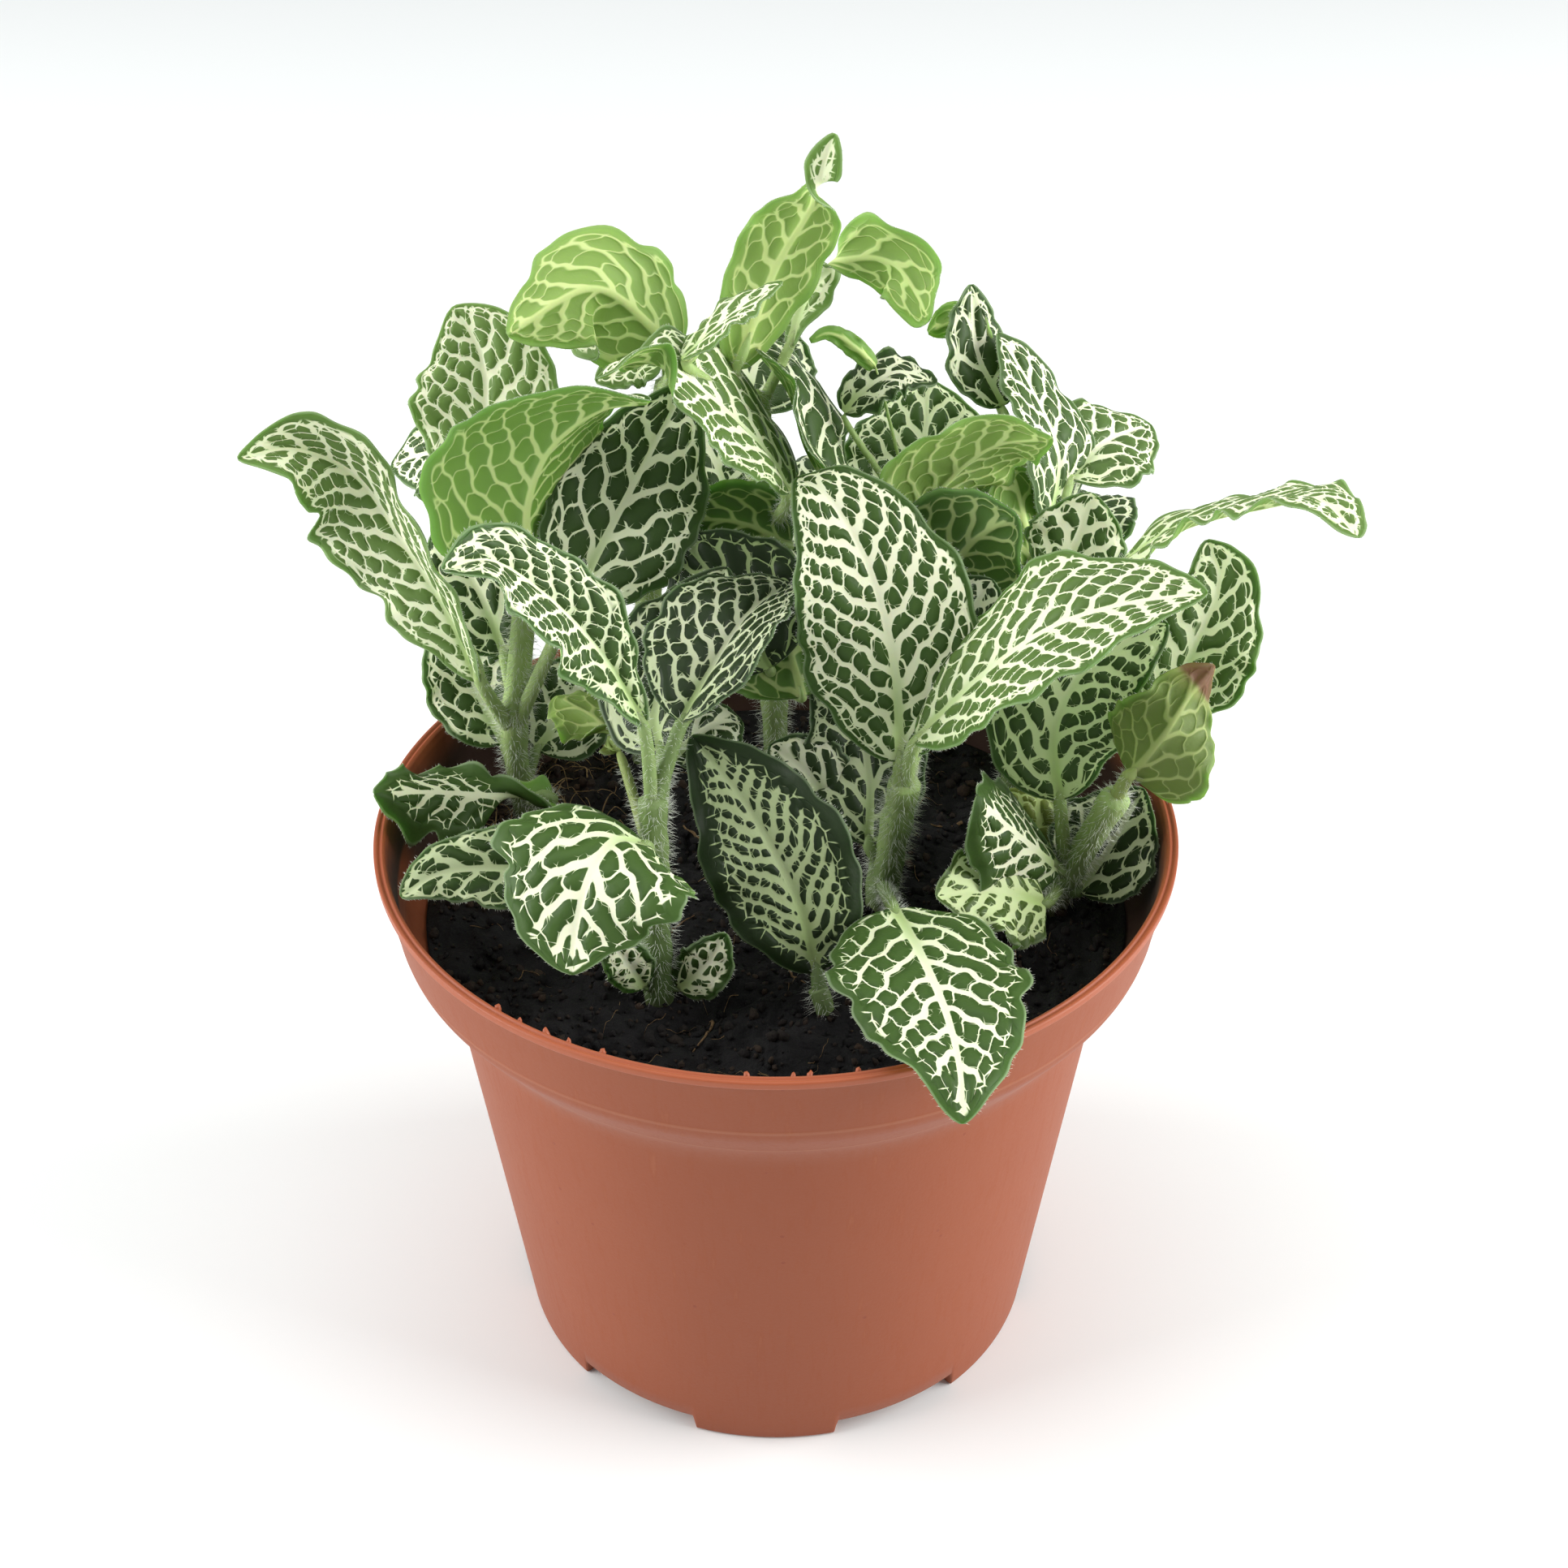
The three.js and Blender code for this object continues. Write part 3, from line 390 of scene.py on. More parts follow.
def vein_net(blade, size, net):
    """How far, in mm, a point of a leaf is from the edge of the nearest vein, negative inside the vein.

    The blade gives s from -1 at the left edge to 1 at the right edge, t from 0 at the base to 1 at the tip,
    and the leaf's seed; the size its length and half width there and its margin; the net the weight of the
    veins, the size of the cells and the weight of the arches. The midrib is a line that tapers. The rest is
    a net of six-sided cells: slow sines move the place by up to half a millimetre, so that no vein is
    straight, v counts strips across the side veins, and u counts cells along them. Side veins
    are the whole numbers of v less a wave that makes them zigzag, and cross veins are the whole numbers of
    u, moved by half a cell in every other strip and by a golden-ratio step from cell to cell, which also
    leaves out some. An arch closes each strip before the margin, and past it veins thin out to points. The
    distances are joined by a soft minimum, which rounds the corners of the cells."""
    s, t, seed = blade
    length, half, margin = size
    weight, gap, arches = net
    a = np.abs(s)
    side = np.greater(s, 0.0)
    x = a * half
    y = t * length
    inset = (1.0 - a) * half
    slow_x = x + 0.30 * np.sin(0.55 * y + 9.0 * seed + 2.0 * side) + 0.12 * np.sin(1.7 * y - 1.1 * x + 4.0 * side)
    slow_y = y + 0.42 * np.sin(0.48 * y + 0.8 * x + 17.0 * seed + side) + 0.12 * np.sin(1.4 * x - 1.2 * y)

    rise = VEIN_RISE * (1.0 + VEIN_BEND * a * a)
    steep = np.sqrt(1.0 + rise * rise)
    strip = gap * VEIN_GAP / steep
    u = (slow_x + rise * slow_y) / steep * (0.9 + 0.4 * a) / (gap * CROSS_GAP) + 5.0 * seed + 20.0
    v = (slow_y - rise * slow_x) / (gap * VEIN_GAP) + 0.45 * side + 3.0 * seed + 20.0
    v = v - ZIGZAG * np.sin(TURN * (u + 0.25)) * np.sin(0.5 * TURN * (v + 0.5))
    k = np.floor(v)
    f = v - k
    to_side = np.minimum(f, 1.0 - f) * strip

    u = u + 0.5 * (k - 2.0 * np.floor(0.5 * k)) + 0.07 * np.sin(TURN * f + 9.0 * share(k * GOLDEN))
    j = np.floor(u + 0.5)
    hashed = share(k * GOLDEN + j * PLASTIC + 0.37 * side + seed)
    to_cross = np.abs(u - j - 0.34 * (hashed - 0.5)) * (gap * CROSS_GAP)
    to_cross = to_cross + 3.0 * np.greater(hashed, 0.92) + 0.7 * np.maximum(1.3 * gap - x, 0.0)

    arch_at = margin + 0.5 * (share(k * GOLDEN) - 0.5) - ARCH_SWELL * 4.0 * f * (1.0 - f)
    past = POINTED * np.maximum(arch_at + 1.0 - arches - inset, 0.0)

    side_width, cross_width = (weight * (whole - gone * a) for whole, gone in (SIDE_WIDTH, CROSS_WIDTH))
    rib_width = weight * (RIB_WIDTH[0] - RIB_WIDTH[1] * t)
    total = 0.0
    for distance in (
        x - rib_width + 0.6 * np.maximum(margin - (length - y), 0.0),
        to_side - side_width + past,
        to_cross - cross_width + past,
        np.abs(inset - arch_at) - cross_width + 1.0 - arches,
    ):
        total = total + np.exp(np.maximum(distance * (-1.0 / JOIN_ROUNDING), -30.0))
    return np.log(total) * (-JOIN_ROUNDING)


# ---------------------------------------------------------------- meshes

class Shells:
    """Closed surfaces gathered for one piece: points in mm, faces with any number of corners, a finish
    number for each face, and for each point its place and size on the leaf and the leaf's tone."""

    def __init__(self):
        self.points = []
        self.faces = []
        self.finishes = []
        self.values = {"blade": [], "size": [], "net": [], "tone": []}
        self.count = 0

    def take(self, points, faces, finish=0, **values):
        """Adds one surface. Its groups of faces have one finish or one each, and a value is a row of three
        numbers for each point, or one row for all."""
        points = np.asarray(points, float).reshape(-1, 3)
        self.points.append(points)
        for part, number in zip(faces, np.broadcast_to(finish, len(faces))):
            self.faces.append(np.asarray(part) + self.count)
            self.finishes.append(np.full(len(part), number, np.int32))
        for name, rows in self.values.items():
            rows.append(np.broadcast_to(values.get(name, (0.0, 0.0, 0.0)), points.shape))
        self.count += len(points)

    def made(self, name, finishes):
        """The object: one mesh at the origin, in metres."""
        mesh = bpy.data.meshes.new(name)
        sides = np.concatenate([np.full(len(part), part.shape[1], np.int32) for part in self.faces])
        corners = np.concatenate([part.reshape(-1) for part in self.faces]).astype(np.int32)
        mesh.vertices.add(self.count)
        mesh.loops.add(len(corners))
        mesh.polygons.add(len(sides))
        mesh.vertices.foreach_set("co", (np.concatenate(self.points) * MM).astype(np.float32).ravel())
        mesh.loops.foreach_set("vertex_index", corners)
        mesh.polygons.foreach_set("loop_start", np.concatenate([[0], np.cumsum(sides)[:-1]]).astype(np.int32))
        mesh.polygons.foreach_set("material_index", np.concatenate(self.finishes))
        mesh.polygons.foreach_set("use_smooth", np.ones(len(sides), bool))
        for attribute, rows in self.values.items():
            stored_rows = mesh.attributes.new(attribute, "FLOAT_VECTOR", "POINT")
            stored_rows.data.foreach_set("vector", np.concatenate(rows).astype(np.float32).ravel())
        mesh.update(calc_edges=True)
        mesh.validate()
        for surface in finishes:
            mesh.materials.append(surface)
        made = bpy.data.objects.new(name, mesh)
        bpy.context.scene.collection.objects.link(made)
        return made


def grid(rows, columns, closed=False):
    """The four-cornered faces of a grid of points, row by row. A closed grid joins its last column to its
    first. A face turns from the column direction to the row direction."""
    row, column = np.meshgrid(np.arange(rows - 1), np.arange(columns if closed else columns - 1), indexing="ij")
    here = row * columns + column
    beside = row * columns + (column + 1) % columns
    return np.stack([here, beside, beside + columns, here + columns], -1).reshape(-1, 4)


def rings(rows, sides):
    """The faces of a closed surface of rings: the grid between them and a flat face on the first and last."""
    ring = np.arange(sides)[None]
    return [grid(rows, sides, True), ring[:, ::-1], ring + (rows - 1) * sides]


def revolved(radius, angle, height):
    """A piece of rings round the axis, whose radius and height are given for each ring and angle."""
    points = np.stack(np.broadcast_arrays(radius * np.cos(angle), radius * np.sin(angle), height), -1)
    shells = Shells()
    shells.take(points, rings(*height.shape))
    return shells


def spline(corners, samples=48):
    """A smooth curve through the corners: on each stretch a cubic, whose end slopes come from the three
    nearest stretches weighted by the root of their lengths."""
    p = np.array(corners, float)
    p = np.vstack([2 * p[0] - p[1], p, 2 * p[-1] - p[-2]])
    gap = np.sqrt(np.linalg.norm(np.diff(p, axis=0), axis=1))
    u = np.linspace(0, 1, samples)[:, None]
    stretches = []
    for k in range(1, len(p) - 2):
        before, here, after = gap[k - 1:k + 2]
        a, b, c, d = p[k - 1:k + 3]
        leave = here * ((b - a) / before - (c - a) / (before + here) + (c - b) / here)
        reach = here * ((c - b) / here - (d - b) / (here + after) + (d - c) / after)
        stretches.append(b + leave * u + (3 * (c - b) - 2 * leave - reach) * u ** 2
                         + (2 * (b - c) + leave + reach) * u ** 3)
    return np.vstack(stretches)


def walk(line, shares):
    """The points at these shares of a line's length."""
    steps = np.concatenate([[0], np.cumsum(np.linalg.norm(np.diff(line, axis=0), axis=1))])
    at = np.asarray(shares) * steps[-1]
    return np.stack([np.interp(at, steps, line[:, axis]) for axis in range(3)], -1)


def line_length(line):
    """The length of a line of points."""
    return float(np.linalg.norm(np.diff(line, axis=0), axis=1).sum())


def unit(vectors):
    """The directions of these vectors, each one long."""
    return vectors / np.maximum(np.linalg.norm(vectors, axis=-1, keepdims=True), 1e-9)


def headings(line, shares, step=0.01):
    """The directions in which a line runs at these shares of its length."""
    return unit(walk(line, np.minimum(shares + step, 1)) - walk(line, np.maximum(shares - step, 0)))


def tube(line, radii, sides, ovals=1.0):
    """A closed tube: a ring of points round each point of the line, at its radius, with flat ends. Also
    gives each ring point's direction away from the line."""
    heading = unit(np.gradient(line, axis=0))
    chord = unit(line[-1] - line[0])
    start = unit(np.cross(chord, [0.31, 0.87, 0.38]))
    first = unit(start - heading * (heading @ start)[:, None])
    second = np.cross(heading, first)
    angle = np.linspace(0, TURN, sides, endpoint=False)
    out = first[:, None] * np.cos(angle)[None, :, None] + second[:, None] * np.sin(angle)[None, :, None]
    points = line[:, None] + out * (np.asarray(radii)[:, None] * np.ones(sides) * ovals)[..., None]
    return points, rings(len(line), sides), out


def rough(x, y, size, seed):
    """Soft random heights from -1 to 1: random numbers at the corners of a square lattice of this size,
    with smooth steps between them."""
    cells, middle = 96, 40
    lattice = np.random.default_rng(seed).uniform(-1, 1, (cells, cells))
    u, v = x / size + middle, y / size + middle
    i, j = np.floor(u).astype(int), np.floor(v).astype(int)
    p, q = (part * part * (3 - 2 * part) for part in (u - i, v - j))
    height = 0
    for up, weight_up in ((0, 1 - q), (1, q)):
        for over, weight in ((0, 1 - p), (1, p)):
            height = height + lattice[(i + over) % cells, (j + up) % cells] * weight * weight_up
    return height


# ---------------------------------------------------------------- leaves and stems

BLADE_FINISH, UNDER_FINISH, STALK_FINISH = 0, 1, 2


def half_width(shape, t):
    """Half a leaf's width at t: an egg-shaped sine with its top at the widest place, plus a thin neck
    at the base and a point at the tip. Where the blade turns over it is narrow."""
    part = t ** (math.log(0.5) / math.log(shape["widest"]))
    egg = np.maximum(0, np.sin(math.pi * part)) ** EGG_ROUNDNESS
    degrees, start, end = shape["twist"]
    from_twist = (t - (start + end) / 2) / (0.7 * (end - start))
    narrow = TWIST_NARROWING * abs(degrees) / 180 * np.exp(-from_twist ** 2)
    return shape["width"] / 2 * egg * (1 - narrow) + NECK * (1 - t) + TIP * t


def turned(vectors, axes, angle):
    """Vectors turned about axes that are square to them."""
    return vectors * np.cos(angle)[:, None] + np.cross(axes, vectors) * np.sin(angle)[:, None]


def middle_surface(shape, line, t, s, seed):
    """The surface half-way through a blade. The point at (t, s) is the midrib's point at t, moved across by
    the half width times s, and lifted by the fold of its half, less a roll to the edge, plus the edge's
    waves, which grow with the square of s, and its fine ruffles, which grow with the fourth power. The
    outline goes in and out by three sines. Where a leaf twists, its face turns about the midrib."""
    along = headings(line, t)
    base, tip = (unit(np.array(shape[end], float)) for end in ("face", "tip"))
    face = base + (tip - base) * (t * t)[:, None]
    face = unit(face - along * np.sum(face * along, -1)[:, None])
    degrees, start, end = shape["twist"]
    face = turned(face, along, math.radians(degrees) * ramp(t, start, end))
    across = np.cross(along, face)
    fold = np.radians(np.where(s < 0, *shape["folds"]))
    inset = np.sqrt(s * s + MIDRIB_ROUNDING) - math.sqrt(MIDRIB_ROUNDING)
    side = np.where(s < 0, 0.0, RIGHT_WAVE_SHIFT)
    window = np.sin(math.pi * t)[:, None]
    phase = np.where(s < 0, 0.0, 2.0) + 7 * seed
    rows = TURN * t[:, None]
    outline = sum(high * np.sin(waves * rows + k * phase) for k, (high, waves) in enumerate(OUTLINE_SINES, 1))
    half = half_width(shape, t)[:, None] * (1 + shape["lobes"] * outline * s ** 2)
    wave = shape["wave"] * np.sin(TURN * (WAVES_ALONG * t[:, None] + side)) * window * s ** 2
    ruffle_phase = TURN * (RUFFLES_ALONG * t[:, None] + 1.7 * side + 5 * seed)
    ruffle = shape["ruffle"] * np.sin(ruffle_phase) * window * s ** 4
    lift = half * (inset * np.sin(fold) - EDGE_ROLL * s ** 2) + wave + ruffle
    return (walk(line, t)[:, None] + across[:, None] * (half * s * np.cos(fold))[..., None]
            + face[:, None] * lift[..., None])


def take_blade(shells, shape, seed, fineness):
    """A blade: the middle surface moved out by half the thickness on each side, thinner to the edge. On the
    upper side the cells of the vein net swell and the midrib lies in a channel. On the under side the veins
    and the midrib stand out. Gives the midrib, and the places and directions for the hairs of the edge."""
    line = spline(shape["rib"])
    length = line_length(line)
    t = np.linspace(0, 1, max(16, int(length * fineness)))
    s = np.linspace(-1, 1, 2 * max(5, int(shape["width"] * fineness / 2)) + 1)
    middle = middle_surface(shape, line, t, s, seed)
    normal = unit(np.cross(np.gradient(middle, axis=1), np.gradient(middle, axis=0)))
    rows, columns = middle.shape[:2]
    half = np.broadcast_to(half_width(shape, t)[:, None], (rows, columns))
    place = np.stack(np.broadcast_arrays(s, t[:, None], seed))
    size = np.stack(np.broadcast_arrays(length, half, shape["margin"]))
    net = (shape["net"], shape["gap"], shape["arches"])
    off = vein_net(place, size, net)
    x = np.abs(place[0]) * half
    inset = (1 - np.abs(place[0])) * half
    swell = CELL_SWELL * ramp(off, 0.0, 1.3) * ramp(inset, 0.4, 2.5)
    channel = CHANNEL_DEPTH * np.exp(-(x / 0.7) ** 2) * ramp(inset, 0.3, 1.5)
    ridge = RIB_HEIGHT * (1 - 0.75 * place[1]) * np.exp(-(x / 0.75) ** 2)
    ridge = (ridge + VEIN_HEIGHT * (1 - ramp(off, -0.1, 0.6))) * ramp(inset, 0.3, 1.8)
    thick = (EDGE_THICKNESS + (BLADE_THICKNESS - EDGE_THICKNESS) * ramp(inset, 0.0, 2.2)) / 2
    upper = middle + normal * (thick + swell - channel)[..., None]
    under = middle - normal * (thick + ridge)[..., None]
    age = shape["age"] + shape["burn"] * ramp(place[1], 0.72, 0.95)
    tone = np.stack(np.broadcast_arrays(shape["tone"], shape["white"], age))

    top = grid(rows, columns)
    below = rows * columns
    number = np.arange(below).reshape(rows, columns)
    edge = np.concatenate([number[0, :-1], number[:-1, -1], number[-1, :0:-1], number[:0:-1, 0]])
    after = np.roll(edge, -1)
    strip = np.stack([after, edge, below + edge, below + after], -1)
    values = {name: np.tile(np.moveaxis(value, 0, -1).reshape(-1, 3), (2, 1))
              for name, value in (("blade", place), ("size", size), ("tone", tone))}
    shells.take([upper, under], [top, top[:, ::-1] + below, strip], [BLADE_FINISH, UNDER_FINISH, BLADE_FINISH],
                net=net, **values)
    rim = np.concatenate([middle[:, 0], middle[::-1, -1]])
    rim_out = np.concatenate([middle[:, 0] - middle[:, 1], (middle[:, -1] - middle[:, -2])[::-1]])
    return line, rim, unit(rim_out)


def take_hairs(shells, roots, directions, length, radius, rng):
    """Hairs: each is a slim three-sided cone, bent a little to a random side."""
    rng = np.random.default_rng(rng.integers(1 << 30))
    if len(roots) == 0:
        return
    directions = unit(directions + rng.normal(0, HAIR_SPREAD, directions.shape))
    lengths = length * rng.uniform(*HAIR_LENGTHS, len(roots))
    first = unit(np.cross(directions, rng.normal(0, 1, directions.shape)))
    second = np.cross(directions, first)
    corners = [roots + radius * (math.cos(angle) * first + math.sin(angle) * second)
               for angle in (0, TURN / 3, TURN * 2 / 3)]
    tip = roots + directions * lengths[:, None] + first * (HAIR_BEND * lengths)[:, None]
    start = 4 * np.arange(len(roots))[:, None]
    faces = np.concatenate([start + [0, 1, 3], start + [1, 2, 3], start + [2, 0, 3], start + [2, 1, 0]])
    shells.take(np.stack([*corners, tip], 1), [faces])


def scatter_on_tube(points, out, per_mm2, rng):
    """Random places on a tube's skin and their outward directions, this many to a square millimetre."""
    rows, sides = points.shape[:2]
    girth = np.linalg.norm(np.diff(points, axis=1, append=points[:, :1]), axis=-1).sum(1).mean()
    count = int(girth * line_length(points.mean(1)) * per_mm2)
    u = rng.uniform(0, rows - 1.001, count)
    v = rng.uniform(0, sides, count)
    i, j = u.astype(int), v.astype(int) % sides
    p, q = (u - i)[:, None], (v - v.astype(int))[:, None]
    beside = (j + 1) % sides
    place = ((points[i, j] * (1 - q) + points[i, beside] * q) * (1 - p)
             + (points[i + 1, j] * (1 - q) + points[i + 1, beside] * q) * p)
    return place, unit(out[i, j] * (1 - q) + out[i, beside] * q)


def take_rod(growth, fuzz, line, radii, ovals, tone, hairy, per_mm2, length, radius, lean, rng):
    """A stem or stalk and its hairs, which stand on the hairy rings. Each point keeps its height over the
    peat, as a share of a stem's length."""
    points, faces, out = tube(line, radii, len(ovals), ovals)
    height = ((line[:, 2] - SOIL_TOP) / STEM_LENGTH)[:, None, None] * [1, 0, 0]
    growth.take(points, faces, STALK_FINISH, size=np.broadcast_to(height, points.shape).reshape(-1, 3), tone=tone)
    roots, ways = scatter_on_tube(points[hairy], out[hairy], per_mm2, rng)
    take_hairs(fuzz, roots, ways + [0, 0, lean], length, radius, rng)


def leafy_stem(name, fineness, hairs_per_mm2, hair_length):
    """One leafy stem with its stalks and blades, and its hairs as a second piece. The stem is a tube that
    swells at each pair of stalks. A stalk is a tube from the stem to the blade's base, and runs out under
    the midrib."""
    plan = STEMS[name]
    letters = sum(map(ord, name))
    rng = np.random.default_rng(letters)
    growth, fuzz = Shells(), Shells()
    line = spline([np.subtract(plan["path"][0], (0, 0, STEM_ROOT)), *plan["path"]])
    shares = np.linspace(0, 1, STEM_RINGS)
    middle = walk(line, shares)
    feet = np.array([shape["foot"] for shape in plan["leaves"]], float)
    swell = np.exp(-((middle[:, 2, None] - feet) / KNOT_REACH) ** 2).max(1)
    radii = plan["radius"] * (1.0 + KNOT_SWELL * swell - STEM_TAPER * shares)
    radii[-1] *= STEM_TOP
    square = 1 + STEM_SQUARENESS * np.cos(4 * np.linspace(0, TURN, STEM_SIDES, endpoint=False))
    take_rod(growth, fuzz, middle, radii, square, (plan["tone"], 1, 0), middle[:, 2] > SOIL_TOP + 1,
             hairs_per_mm2, hair_length, STEM_HAIR_RADIUS, HAIR_HANG, rng)
    reach = np.linspace(0, 1, STALK_RINGS)
    for number, shape in enumerate(plan["leaves"]):
        seed = share(0.137 * number + 0.0317 * letters)
        rib, rim, rim_out = take_blade(growth, shape, seed, fineness * shape["fine"])
        foot = line[np.argmin(np.abs(line[:, 2] - shape["foot"]))]
        at, drop = np.transpose(STALK_REACHES)
        below = -unit(np.array(shape["face"], float)) * STALK_DROP
        stalk = walk(spline([foot, *(walk(rib, at) + below * drop[:, None])], 12), reach)
        thin = min(1.0, max(THINNEST_STALK, shape["width"] / FULL_STALK_WIDTH))
        radii = STALK_RADIUS * thin * (1.15 - 0.3 * reach) * (1 - 0.75 * ramp(reach, 0.82, 1.0))
        take_rod(growth, fuzz, stalk, radii, np.ones(STALK_SIDES),
                 ((shape["tone"] + plan["tone"]) / 2, shape["white"], shape["age"]), slice(1, -5),
                 hairs_per_mm2, STALK_HAIR_SHARE * hair_length * thin, FINE_HAIR_RADIUS, 0.0, rng)
        count = int(line_length(rim) * EDGE_HAIR_SHARE * hairs_per_mm2)
        spots = np.sort(rng.uniform(0, len(rim) - 1.001, count))
        i = spots.astype(int)
        p = (spots - i)[:, None]
        take_hairs(fuzz, rim[i] * (1 - p) + rim[i + 1] * p, rim_out[i], EDGE_HAIR_LENGTH, FINE_HAIR_RADIUS, rng)
    return growth, fuzz


# ---------------------------------------------------------------- pot

MOULD_LINES = (79.7, 72.5)
MOULD_LINE_HEIGHT = 0.05
FLOOR_HOLE = 8.0
LONGEST_STEP = 3.0
NUB_ANGLES = (-130.9, -126.5, -121.7, -118.6, -113.7, -94.3, -88.2, -85.3, -78.3)
NOTCH_CENTRES = FRONT_FOOT_TURN + 360 / FOOT_COUNT * (np.arange(FOOT_COUNT) + 0.5) - 90


def rounded(corners, steps=5):
    """A profile with its corners rounded: each corner (r, z, size) becomes a short curve that leaves one
    side and reaches the next at that distance from the corner."""
    spots = np.array([corner[:2] for corner in corners], float)
    u = np.linspace(0, 1, steps)[:, None]
    line = [spots[:1]]
    for k in range(1, len(corners) - 1):
        leave, reach = (spots[k] + unit(spots[other] - spots[k]) * corners[k][2] for other in (k - 1, k + 1))
        line.append((1 - u) ** 2 * leave + 2 * u * (1 - u) * spots[k] + u ** 2 * reach)
    line.append(spots[-1:])
    return np.vstack(line)


def subdivided(profile, longest):
    """The profile with points added, so that none of its steps is longer than this."""
    line = []
    for a, b in zip(profile[:-1], profile[1:]):
        count = max(1, math.ceil(np.linalg.norm(b - a) / longest))
        line.append(a + (b - a) * np.linspace(0, 1, count, endpoint=False)[:, None])
    line.append(profile[-1:])
    return np.vstack(line)


def inner_radius(z):
    """The inner wall's radius at height z, below the collar."""
    if z <= SHOULDER_BOTTOM:
        return BASE_RADIUS + (SHOULDER_RADIUS - BASE_RADIUS) * z / SHOULDER_BOTTOM - WALL
    part = (z - SHOULDER_BOTTOM) / (COLLAR_BOTTOM - SHOULDER_BOTTOM)
    return SHOULDER_RADIUS + (COLLAR_RADIUS - SHOULDER_RADIUS) * part - WALL


def pot_shell():
    """The pot: a rounded profile turned round the axis. Below the floor's height it is pushed up by the
    notches between the feet, each a step up and down in the angle. The collar and wall are out of round by
    a tenth of a millimetre, as thin mouldings are, and two mould lines stand out by less."""
    floor_top = FOOT_HEIGHT + WALL
    profile = subdivided(rounded([
        (FLOOR_HOLE, FOOT_HEIGHT, 0), (BASE_RADIUS - FOOT_RING, FOOT_HEIGHT, 0.3),
        (BASE_RADIUS - FOOT_RING + 0.3, 0, 0.3), (BASE_RADIUS - 0.1, 0, 0.7),
        (SHOULDER_RADIUS, SHOULDER_BOTTOM, 2.5), (COLLAR_RADIUS, COLLAR_BOTTOM, 1.2),
        *((RIM_RADIUS - in_by, POT_HEIGHT - down_by, size) for in_by, down_by, size in (
            (0.75, 1.5, 0.1), (0.1, 1.25, 0.25), (0, 0.1, 0.35), (0.6, 0.02, 0.2), (0.95, 0.35, 0.15),
            (1.3, 0.05, 0.15), (1.8, 0.3, 0.25), (2.0, 1.4, 0.4))),
        (COLLAR_RADIUS - WALL, COLLAR_BOTTOM, 1.5), (SHOULDER_RADIUS - WALL, SHOULDER_BOTTOM, 2.0),
        (inner_radius(floor_top), floor_top, 1.2), (FLOOR_HOLE, floor_top, 0),
    ]), LONGEST_STEP)
    fine = np.concatenate([np.linspace(line - 0.8, line + 0.8, 9) for line in MOULD_LINES])
    top = np.argmax(profile[:, 1])
    foot = np.argmax(profile[:, 1] > 4)
    wall_r, wall_z = profile[foot:top].T
    heights = np.sort(np.concatenate([wall_z, fine]))
    wall = np.stack([np.interp(heights, wall_z, wall_r), heights], -1)
    r, z = np.vstack([profile[:foot], wall, profile[top:]]).T

    edges = (NOTCH_CENTRES[:, None] + NOTCH_ANGLE / 2 * np.array([-1.0, 1.0])).ravel()
    flank = np.array([-0.55, -0.35, 0.0, 0.35, 0.55])
    degrees = np.sort(np.concatenate([np.arange(0, 360, 1.25), (edges[:, None] + flank).ravel() % 360]))
    away = np.abs((degrees[:, None] - NOTCH_CENTRES + 180) % 360 - 180).min(1)
    notch = 1 - ramp(away, NOTCH_ANGLE / 2 - 0.5, NOTCH_ANGLE / 2 + 0.5)
    angle = np.radians(degrees)
    height = z[:, None] + np.maximum(0, FOOT_HEIGHT - z)[:, None] * notch
    uneven = 0.10 * np.sin(2 * angle + 0.7) + 0.05 * np.sin(5 * angle + 2.0)
    ridge = sum(MOULD_LINE_HEIGHT * np.exp(-((z - line) / 0.3) ** 2) for line in MOULD_LINES)
    outside = np.arange(len(z)) < np.argmax(z)
    radius = np.minimum((r + outside * ridge)[:, None] + uneven * ramp(z, 20, 80)[:, None], RIM_RADIUS)
    return revolved(radius, angle, height)


def drain_cutters(radius):
    """Rods through the floor, one at each notch, that cut the drain holes."""
    shells = Shells()
    for angle in np.radians(NOTCH_CENTRES):
        x, y = DRAIN_RING * math.cos(angle), DRAIN_RING * math.sin(angle)
        line = np.array([[x, y, z] for z in (-1.0, 3.0, 7.0)])
        shells.take(*tube(line, [radius] * 3, 40)[:2])
    return shells


def take_nubs(shells):
    """Flash nubs: short cones with six sides on the rim's inner edge, leaning in."""
    rng = np.random.default_rng(5)
    for degrees in NUB_ANGLES:
        angle = math.radians(degrees + rng.uniform(-0.8, 0.8))
        size = rng.uniform(0.35, 0.6)
        out = np.array([math.cos(angle), math.sin(angle), 0.0])
        foot = out * (RIM_RADIUS - 1.9) + [0, 0, POT_HEIGHT - 0.9]
        lean = unit(np.array([0, 0, 1.0]) - 0.5 * out + rng.normal(0, 0.2, 3))
        line = foot + lean * np.linspace(0, 2.2 * size, 5)[:, None]
        line = line + rng.normal(0, 0.05, line.shape)
        points, faces, _ = tube(line, size * np.array([1.1, 0.9, 0.8, 0.55, 0.15]), 6)
        points[..., 2] = np.minimum(points[..., 2], POT_HEIGHT - 0.02)
        shells.take(points, faces)


# ---------------------------------------------------------------- peat

SOIL_EDGE = inner_radius(SOIL_TOP) - CLEARANCE
SOIL_SIDES, SOIL_RINGS = 300, 110
CENTRE_RADIUS = 0.02

